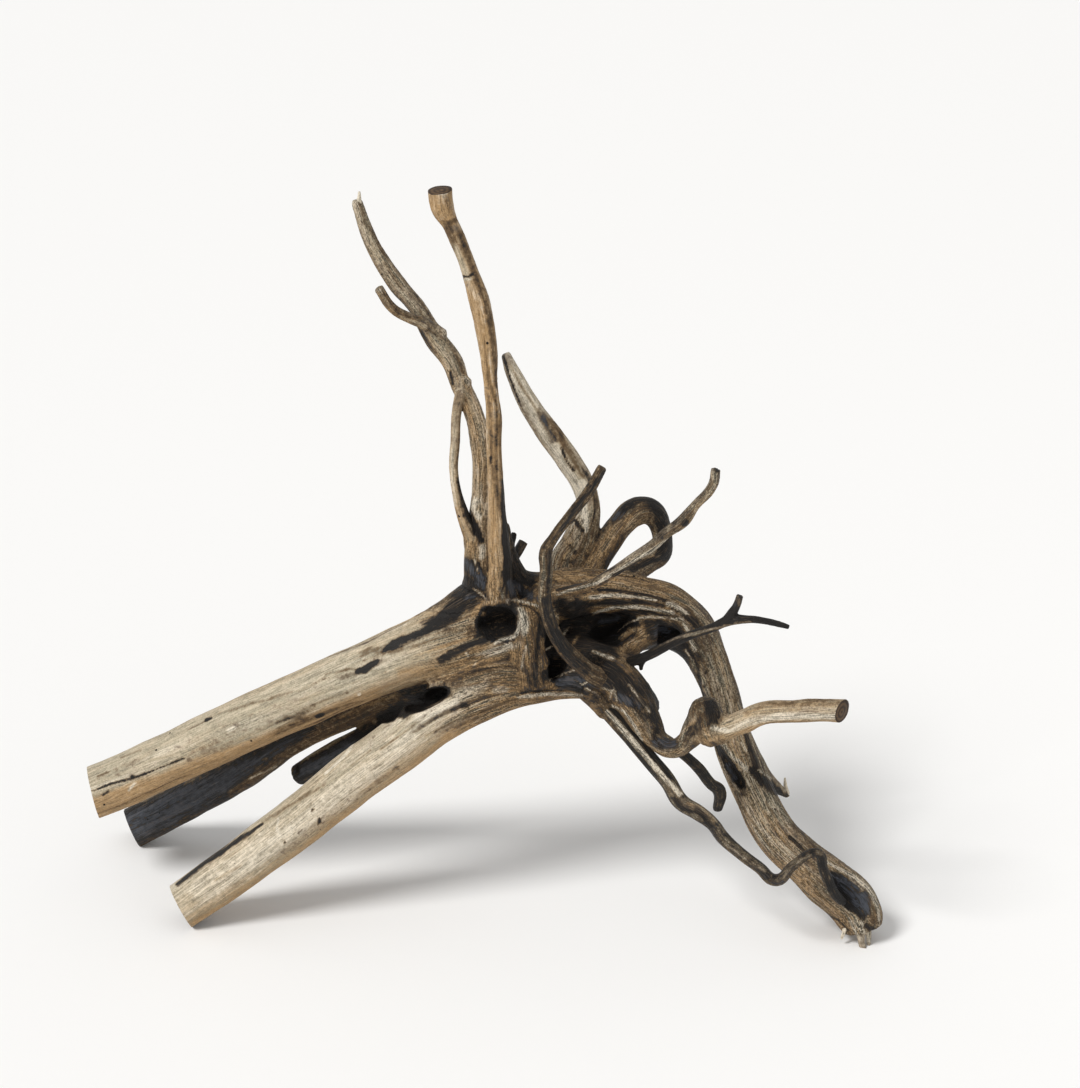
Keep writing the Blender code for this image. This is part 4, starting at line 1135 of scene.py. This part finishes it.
class Marks:
    """The marks that reach a set of points, with the share of each point that each mark covers."""

    def __init__(self, points, normals, grain):
        self.seen = as_seen(points)
        self.facing = ramp(-(normals @ np.array(GAZE)), *FACING)
        self.ragged = grain.noise("ragged edges")
        self.found = []
        for names, *rows in MARKS:
            owned = np.flatnonzero(grain.on(names) & (self.facing > 0))
            for paint, strength, raised, *line in rows:
                near, share = self.cover(owned, np.array(line), FADES[paint])
                self.found.append((paint, strength, raised, near, share))

    def cover(self, owned, line, fade):
        """The points near a line, and how far it covers each of them."""
        places, widths = line[:, :2], line[:, 2]
        fringe = widths.max() / 2 + MARK_FRINGE
        seen = self.seen[owned]
        inside = (seen > places.min(axis=0) - fringe) & (seen < places.max(axis=0) + fringe)
        near = owned[np.all(inside, axis=1)]
        width = widths.mean()
        gap = line_gap(self.seen[near], line) + self.ragged[near] * min(MOST_RAGGED, RAGGED_SHARE * width)
        soft = min(SOFTEST, SHARPEST + fade * width)
        return near, ramp(-gap, -soft, soft) * self.facing[near]

    def relief(self, count):
        """How far the marks raise or sink each point, in mm."""
        height = np.zeros(count)
        for _, _, raised, near, share in self.found:
            height[near] += share * raised
        return np.clip(height, *MARK_LIMITS)

    def paint(self, weather_and_light):
        """Draws each mark over the weather's columns."""
        for paint, strength, _, near, share in self.found:
            for column, goal in enumerate(PAINTS[paint]):
                if goal is not None:
                    weather_and_light[near, column] += (goal - weather_and_light[near, column]) * share * strength


def read_vectors(items, field):
    flat = np.empty(len(items) * 3, np.float32)
    items.foreach_get(field, flat)
    return flat.reshape(-1, 3).astype(float)


def read_surface(mesh, names):
    """The mesh's points, their normals and the grain there."""
    points = read_vectors(mesh.vertices, "co")
    return points, read_vectors(mesh.vertices, "normal"), Grain(points, names)


def move_points(mesh, points):
    mesh.vertices.foreach_set("co", points.astype(np.float32).ravel())
    mesh.update()


def hollowness(mesh, points, normals):
    """How sunk each vertex lies below its neighbours, in mm."""
    ends = np.empty(len(mesh.edges) * 2, np.int32)
    mesh.edges.foreach_get("vertices", ends)
    first, second = ends.reshape(-1, 2).T
    counts = np.bincount(ends, minlength=len(points))[:, None]
    smooth = points
    for _ in range(SUNK_ROUNDS):
        total = [np.bincount(first, smooth[second, axis], len(points))
                 + np.bincount(second, smooth[first, axis], len(points)) for axis in range(3)]
        smooth = np.stack(total, axis=1) / counts
    return np.einsum("ij,ij->i", smooth - points, normals) / MM


def weld_crotches(mesh, names):
    """Fills the sharp valleys where limbs meet, as growing wood does."""
    points, normals, grain = read_surface(mesh, names)
    move_points(mesh, points + normals * grain.fillet[:, None])


def crack_share(grain):
    """How open a crack is at each point, from 0 to 1."""
    line = np.abs(grain.noise("crack lines"))
    return (1 - ramp(line, *CRACK_LINE)) * ramp(grain.noise("cracked places"), *CRACKED)


def carve(mesh, names, size):
    """Raises and sinks the surface: lumps, fibre ridges, cracks and the drawn marks."""
    points, normals, grain = read_surface(mesh, names)
    ridges = grain.look(RIDGES)
    lumps = even_noise(points, "lumps") * (LEAST_LUMPS + ridges) * size
    flutes = (FLUTE_LEVEL - np.abs(grain.noise("flutes"))) * FLUTE_DEPTH * ridges * size
    threads = (THREAD_LEVEL - np.abs(grain.noise("threads"))) * THREAD_DEPTH * (LEAST_THREADS + ridges)
    marks = Marks(points, normals, grain)
    height = lumps + flutes + threads - crack_share(grain) * CRACK_DEPTH + marks.relief(len(points))
    moved = points + normals * (height * MM)[:, None]
    moved[:, 2] = np.maximum(moved[:, 2], 0)
    move_points(mesh, moved)


def write_attribute(mesh, name, values):
    kind, field = ("FLOAT", "value") if values.ndim == 1 else ("FLOAT_VECTOR", "vector")
    made = mesh.attributes.new(name, kind, "POINT")
    made.data.foreach_set(field, values.astype(np.float32).ravel())


def in_hollows(points):
    """1 in a gouged hollow and on its rim, 0 outside."""
    inside = np.zeros(len(points))
    for shape in hollow_shapes():
        back = np.array(shape.inverted())
        reach = np.linalg.norm(points @ back[:3, :3].T + back[:3, 3], axis=1)
        inside = np.maximum(inside, 1 - ramp(reach, *HOLLOW_RIM))
    return inside


def paint_weather_and_light(mesh, names):
    """Writes what the materials read: the grain's own coordinates, how each spot has weathered, and painted
    shade, highlights and sheen.

    Each weight says how far its cause goes, where 1 is all the way."""
    points, normals, grain = read_surface(mesh, names)
    # Painted light from the shape of the surface: sunk pits get painted shade, darker and browner, and raised
    # crests a painted highlight, paler
    sunk = np.clip(hollowness(mesh, points, normals), *SUNK_LIMITS)
    pit = np.maximum(sunk, 0)
    heart = 1 - ramp(np.linalg.norm(points - HEART, axis=1), *HEART_REACH)
    # Painted shade: gouged hollows and their rims are painted black
    hollow = in_hollows(points)
    crotch = 1 - ramp(grain.gap, *CROTCH)
    # Painted shade: undersides are painted warmer in tone and less bleached, standing in for shadow and warm
    # bounced light
    below = ramp(-normals[:, 2], *UNDERSIDE)
    tone = (grain.look(TONE) + 0.35 * heart + 0.4 * below + 0.3 * grain.noise("tone")
            + 0.2 * even_noise(points, "tone"))
    black = (grain.look(BLACK) + 0.6 * grain.noise("stain") + 0.3 * even_noise(points, "stain")
             + 0.45 * pit + 0.25 * crotch + 1.2 * hollow)
    pale = grain.look(PALE) - 0.3 * heart + 0.35 * grain.noise("bleach") - 1.2 * sunk - 0.3 * below
    brown = 0.9 * grain.noise("brown") + 0.9 * pit
    # A painted blue sheen on the black stains, standing in for reflected light
    blue = 0.25 + 0.5 * even_noise(points, "blue")
    weather_and_light = np.stack((tone, black, pale, brown, blue), axis=1)
    Marks(points, normals, grain).paint(weather_and_light)
    weather_and_light[:, BLACK] += CRACK_SOOT * crack_share(grain)
    write_attribute(mesh, "grain", grain.flow())
    write_attribute(mesh, "weather_and_light", weather_and_light[:, :PALE + 1])
    # Brown streaks with painted shade in pits, the painted blue sheen, and the painted shade of hollows
    write_attribute(mesh, "stain", np.stack((weather_and_light[:, BROWN], weather_and_light[:, BLUE_SHEEN], hollow), axis=1))
    write_attribute(mesh, "seam", SEAM_LEAST + (1 - SEAM_LEAST) * ramp(grain.gap, *SEAM))
    write_attribute(mesh, "roughness", np.maximum(ramp(grain.look(RIDGES), *RIDGED), heart))


# Materials

def linear(name):
    """A named sRGB colour as linear red, green, blue and alpha."""
    parts = [int(COLOURS[name][start:start + 2], 16) / 255 for start in (1, 3, 5)]
    return [part / 12.92 if part <= 0.04045 else ((part + 0.055) / 1.055) ** 2.4 for part in parts] + [1.0]


def add(tree, kind, inputs=None, **settings):
    """A node with its settings, and its inputs set or linked."""
    made = tree.nodes.new(kind)
    for setting, value in settings.items():
        setattr(made, setting, value)
    for slot_name, value in (inputs or {}).items():
        socket = made.inputs[slot_name]
        if isinstance(value, bpy.types.NodeSocket):
            tree.links.new(value, socket)
        else:
            socket.default_value = value
    return made


def new_material(name):
    made = bpy.data.materials.new(name)
    made.use_nodes = True
    made.node_tree.nodes.clear()
    return made, made.node_tree


def add_surface(tree, inputs):
    surface = add(tree, "ShaderNodeBsdfPrincipled", inputs)
    add(tree, "ShaderNodeOutputMaterial", {"Surface": surface.outputs[0]})


def attribute(tree, name, output="Vector"):
    """What paint_weather_and_light wrote on the mesh."""
    return add(tree, "ShaderNodeAttribute", attribute_name=name).outputs[output]


def own_place(tree):
    return add(tree, "ShaderNodeTexCoord").outputs["Object"]


def mix(tree, share, first, second, blend="MIX"):
    made = add(tree, "ShaderNodeMix", {0: share, 6: first, 7: second}, data_type="RGBA", blend_type=blend)
    return made.outputs[2]


def sums(tree, operation, first, second, third=0.0):
    """One step of arithmetic."""
    made = add(tree, "ShaderNodeMath", {0: first, 1: second, 2: third}, operation=operation)
    return made.outputs[0]


def ramped(tree, value, kind):
    """The value after one of the RAMPS."""
    ends = dict(zip(range(1, 5), RAMPS[kind]))
    return add(tree, "ShaderNodeMapRange", {0: value, **ends}, interpolation_type="SMOOTHSTEP").outputs[0]


def texture(tree, place, scale, detail, roughness):
    made = add(tree, "ShaderNodeTexNoise", {"Vector": place, "Scale": scale, "Detail": detail,
                                            "Roughness": roughness})
    return made.outputs["Fac"]


def even_texture(tree, width, detail):
    """Noise of the same size in every direction; width of its cells in mm."""
    return texture(tree, own_place(tree), 1 / (width * MM), detail, EVEN_ROUGHNESS)


def weathered_wood():
    """Dry driftwood: fibres bleached grey to tan, with tannin-black stains under a painted blue sheen, open
    cracks, beetle holes, and the painted shade and highlights that the mesh carries.
    """
    wood, tree = new_material("weathered driftwood")
    rough = attribute(tree, "roughness", "Fac")
    tone, black, pale = add(tree, "ShaderNodeSeparateXYZ", {0: attribute(tree, "weather_and_light")}).outputs
    # Brown streaks with painted pit shade, the painted blue sheen, and the painted shade of hollows
    brown, blue, hollow = add(tree, "ShaderNodeSeparateXYZ", {0: attribute(tree, "stain")}).outputs

    # Bare polished trunks show little of their fibres, the knotted heart a lot
    contrast = sums(tree, "MULTIPLY", ramped(tree, rough, "contrast"), attribute(tree, "seam", "Fac"))

    def centred(value):
        return sums(tree, "SUBTRACT", value, 0.5)

    def grain_texture(width, length, detail):
        scale = (1 / (width * MM), 1 / (width * MM), 1 / (length * MM))
        drawn = add(tree, "ShaderNodeMapping", {"Vector": attribute(tree, "grain"), "Scale": scale})
        made = texture(tree, drawn.outputs[0], 1.0, detail, GRAIN_ROUGHNESS)
        return sums(tree, "MULTIPLY", centred(made), contrast)

    def pushed(value, kind):
        """The value after the noises have pushed it."""
        for name, amount in PUSHES[kind].items():
            value = sums(tree, "MULTIPLY_ADD", noises[name], amount, value)
        return value

    def coloured(under, value, kind, over):
        """One colour over another, as far as the ramp lets it."""
        return mix(tree, ramped(tree, value, kind), under, linear(over))

    noises = {
        "fibres": grain_texture(*FIBRES),
        "strands": grain_texture(*STRANDS),
        "mottles": centred(even_texture(tree, *MOTTLES)),
        "specks": sums(tree, "MULTIPLY", centred(even_texture(tree, *SPECKS)), contrast),
        "rough": rough,
    }
    colour = coloured(linear("grey beige"), pushed(tone, "tone"), "tone", "honey tan")
    colour = coloured(colour, pushed(pale, "pale"), "pale", "bleached")
    colour = coloured(colour, pushed(brown, "brown"), "brown", "old brown")
    shade = ramped(tree, pushed(EVEN_SHADE, "shade"), "shade")
    colour = mix(tree, 1.0, colour, shade, "MULTIPLY")
    # The black stains, under a painted blue sheen that stands in for reflected light
    soot = coloured(linear("soot"), pushed(blue, "blue"), "blue", "painted blue sheen")
    # Worn fibres show through the black stains, but not in hollows, where painted shade covers them
    worn = ramped(tree, pushed(0.0, "worn"), "worn")
    soot = mix(tree, sums(tree, "SUBTRACT", worn, hollow), soot, linear("worn fibres"))
    blacked = pushed(black, "black")
    colour = coloured(colour, blacked, "stain edge", "stain edge")
    blacked = ramped(tree, blacked, "black")
    colour = mix(tree, blacked, colour, soot)

    cells = add(tree, "ShaderNodeTexVoronoi", {"Vector": own_place(tree), "Scale": 1 / (BEETLE_SPACING * MM)},
                feature="F1")
    chosen = add(tree, "ShaderNodeSeparateColor", {0: cells.outputs["Color"]}).outputs[0]
    hole = ramped(tree, cells.outputs["Distance"], "hole")
    noises["hole"] = sums(tree, "MULTIPLY", hole, ramped(tree, chosen, "holed place"))
    colour = mix(tree, noises["hole"], colour, linear("beetle hole"))

    bump = add(tree, "ShaderNodeBump", {"Strength": 1.0, "Distance": BUMP_HEIGHT * MM,
                                        "Height": pushed(0.0, "relief")})
    add_surface(tree, {"Base Color": colour, "Normal": bump.outputs[0], "Specular IOR Level": 0.3,
                       "Roughness": ramped(tree, blacked, "roughness")})
    return wood


def sawn_end_grain():
    """Weathered saw cuts: brown end grain with yearly rings, darker than the sides."""
    wood, tree = new_material("weathered sawn end grain")
    across = add(tree, "ShaderNodeMapping", {"Vector": attribute(tree, "grain"), "Scale": (1.0, 1.0, 0.0)})
    rings = add(tree, "ShaderNodeTexWave", {"Vector": across.outputs[0], "Scale": 1 / (RING_SPACING * MM),
                                            "Distortion": 2.5, "Detail": 2.0, "Detail Scale": 1.5},
                wave_type="RINGS", rings_direction="Z").outputs["Fac"]
    mottle = even_texture(tree, *CUT_MOTTLES)
    colour = mix(tree, rings, linear("cut wood"), linear("yearly ring"))
    colour = mix(tree, ramped(tree, mottle, "cut stain"), colour, linear("cut stain"))
    bump = add(tree, "ShaderNodeBump", {"Strength": 0.5, "Distance": CUT_BUMP_HEIGHT * MM,
                                        "Height": sums(tree, "ADD", rings, mottle)})
    add_surface(tree, {"Base Color": colour, "Roughness": 0.85, "Normal": bump.outputs[0]})
    return wood


# Wood pieces

def mark_sawn_faces(mesh, names):
    """Gives the faces of each saw cut the end-grain slot."""
    centres = read_vectors(mesh.polygons, "center")
    slots = np.zeros(len(mesh.polygons), np.int32)
    for name in names:
        place, toward = saw_plane(name)
        offset = centres - np.array(place)
        level = np.abs(offset @ np.array(toward)) < SAW_SLACK
        slots[level & (np.linalg.norm(offset, axis=1) < SAWN_ENDS[name][2] * MM)] = 1
    mesh.polygons.foreach_set("material_index", slots)


def split_off(whole, name, planes):
    """A closed piece of the wood, on the inner side of every plane, and its normals along the cuts."""
    shape = bmesh.new()
    shape.from_mesh(whole.data)
    normals = shape.verts.layers.float_vector["whole normal"]
    rim_verts = []
    for place, outward in planes:
        parts = shape.verts[:] + shape.edges[:] + shape.faces[:]
        cut = bmesh.ops.bisect_plane(shape, geom=parts, dist=PLANE_SLACK, plane_co=place, plane_no=outward,
                                     clear_outer=True)
        rim = [part for part in cut["geom_cut"] if isinstance(part, bmesh.types.BMEdge)]
        bmesh.ops.edgeloop_fill(shape, edges=rim)
        for edge in rim:
            edge.smooth = False
            rim_verts.extend(edge.verts)
    shape.verts.index_update()
    normal_of = {vert.index: vert[normals].normalized() for vert in rim_verts if vert.is_valid}
    return make_solid(name, shape), normal_of


def dress(made, cuts, edge_normals):
    """Gives a piece its materials, its shading and its place in the frame."""
    mesh = made.data
    mesh.materials.clear()
    mesh.materials.append(WOOD)
    mesh.materials.append(END_GRAIN)
    mark_sawn_faces(mesh, cuts)
    mesh.shade_smooth()
    mesh.set_sharp_from_angle(angle=CREASE)
    if edge_normals:
        shown = [edge_normals.get(index, (0, 0, 0)) for index in range(len(mesh.vertices))]
        mesh.normals_split_custom_set_from_vertices(shown)
    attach(made, "root")
    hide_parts("driftwood_root")


def twig_foot(route):
    """A flared foot for a twig, that dives into it further up."""
    (*first, w0), (*second, w1), *_ = route
    middle = ((start + end) / 2 for start, end in zip(first, second))
    foot, waist, tip = FOOT_FLARE
    return (*first, w0 * foot), (*middle, (w0 + w1) / 2 * waist), (*second, w1 * tip)


WOOD = weathered_wood()
END_GRAIN = sawn_end_grain()

for name, ends in TWIG_FEET.items():
    for end in ends:
        LIMBS[name + " foot, " + end] = twig_foot(LIMBS[name][::1 if end == "first" else -1])
feet = [name for name in LIMBS if "foot" in name]
thick = [name for name in LIMBS if name not in TWIGS and name not in feet]
trunk_cuts = [name for name in SAWN_ENDS if name not in TWIGS]
twig_cuts = [name for name in SAWN_ENDS if name in TWIGS]

body = join_limbs("body", thick + feet)
add_skin(body, BODY_VOXEL)
apply_modifiers(body)
weld_crotches(body.data, thick)
add_skin(body, BODY_VOXEL)
cut_away(body, make_gouge())
add_skin(body, BODY_VOXEL)
add_flow(body, BODY_FLOW)
apply_modifiers(body)
carve(body.data, thick, 1.0)
cut_away(body, make_saw(trunk_cuts))
paint_weather_and_light(body.data, thick)
write_attribute(body.data, "whole normal", read_vectors(body.data.vertices, "normal"))
for name, planes in BODY_PIECES.items():
    piece, edge_normals = split_off(body, name, planes)
    dress(piece, trunk_cuts, edge_normals)
bpy.data.objects.remove(body)

twigs = join_limbs("driftwood_twigs", TWIGS)
add_skin(twigs, TWIG_VOXEL)
add_flow(twigs, TWIG_FLOW)
apply_modifiers(twigs)
carve(twigs.data, TWIGS, TWIG_RELIEF)
cut_away(twigs, make_saw(twig_cuts))
paint_weather_and_light(twigs.data, TWIGS)
dress(twigs, twig_cuts, {})


# Stage

def make_floor():
    ground = bmesh.new()
    bmesh.ops.create_grid(ground, x_segments=1, y_segments=1, size=FLOOR_REACH)
    floor = make_solid("floor", ground)
    # Bright matt card, on which the shadow is soft and the horizon is lost
    card, tree = new_material("matt white card")
    add_surface(tree, {"Base Color": linear("white card"), "Roughness": 0.9})
    floor.data.materials.append(card)


def make_light(name, kind, place, size, power):
    light = bpy.data.lights.new(name, kind)
    light.energy = power
    setattr(light, "angle" if kind == "SUN" else "size", size)
    lamp = make_object(name, light)
    lamp.location = place
    lamp.rotation_euler = (AIM - Vector(place)).to_track_quat("-Z", "Y").to_euler()


def make_camera():
    view = bpy.data.cameras.new("camera")
    view.sensor_width = SENSOR
    view.lens = SENSOR * EYE_DISTANCE / PICTURE_HEIGHT
    camera = make_object("camera", view)
    camera.location = EYE
    camera.rotation_euler = GAZE.to_track_quat("-Z", "Y").to_euler()
    bpy.context.scene.camera = camera


def make_daylight():
    world = bpy.data.worlds.new("studio")
    world.use_nodes = True
    background = world.node_tree.nodes["Background"].inputs
    background["Color"].default_value = linear("daylight")
    background["Strength"].default_value = DAYLIGHT
    bpy.context.scene.world = world
    bpy.context.scene.view_settings.view_transform = "Standard"


make_floor()
for name, light in LIGHTS.items():
    make_light(name, *light)
make_daylight()
make_camera()
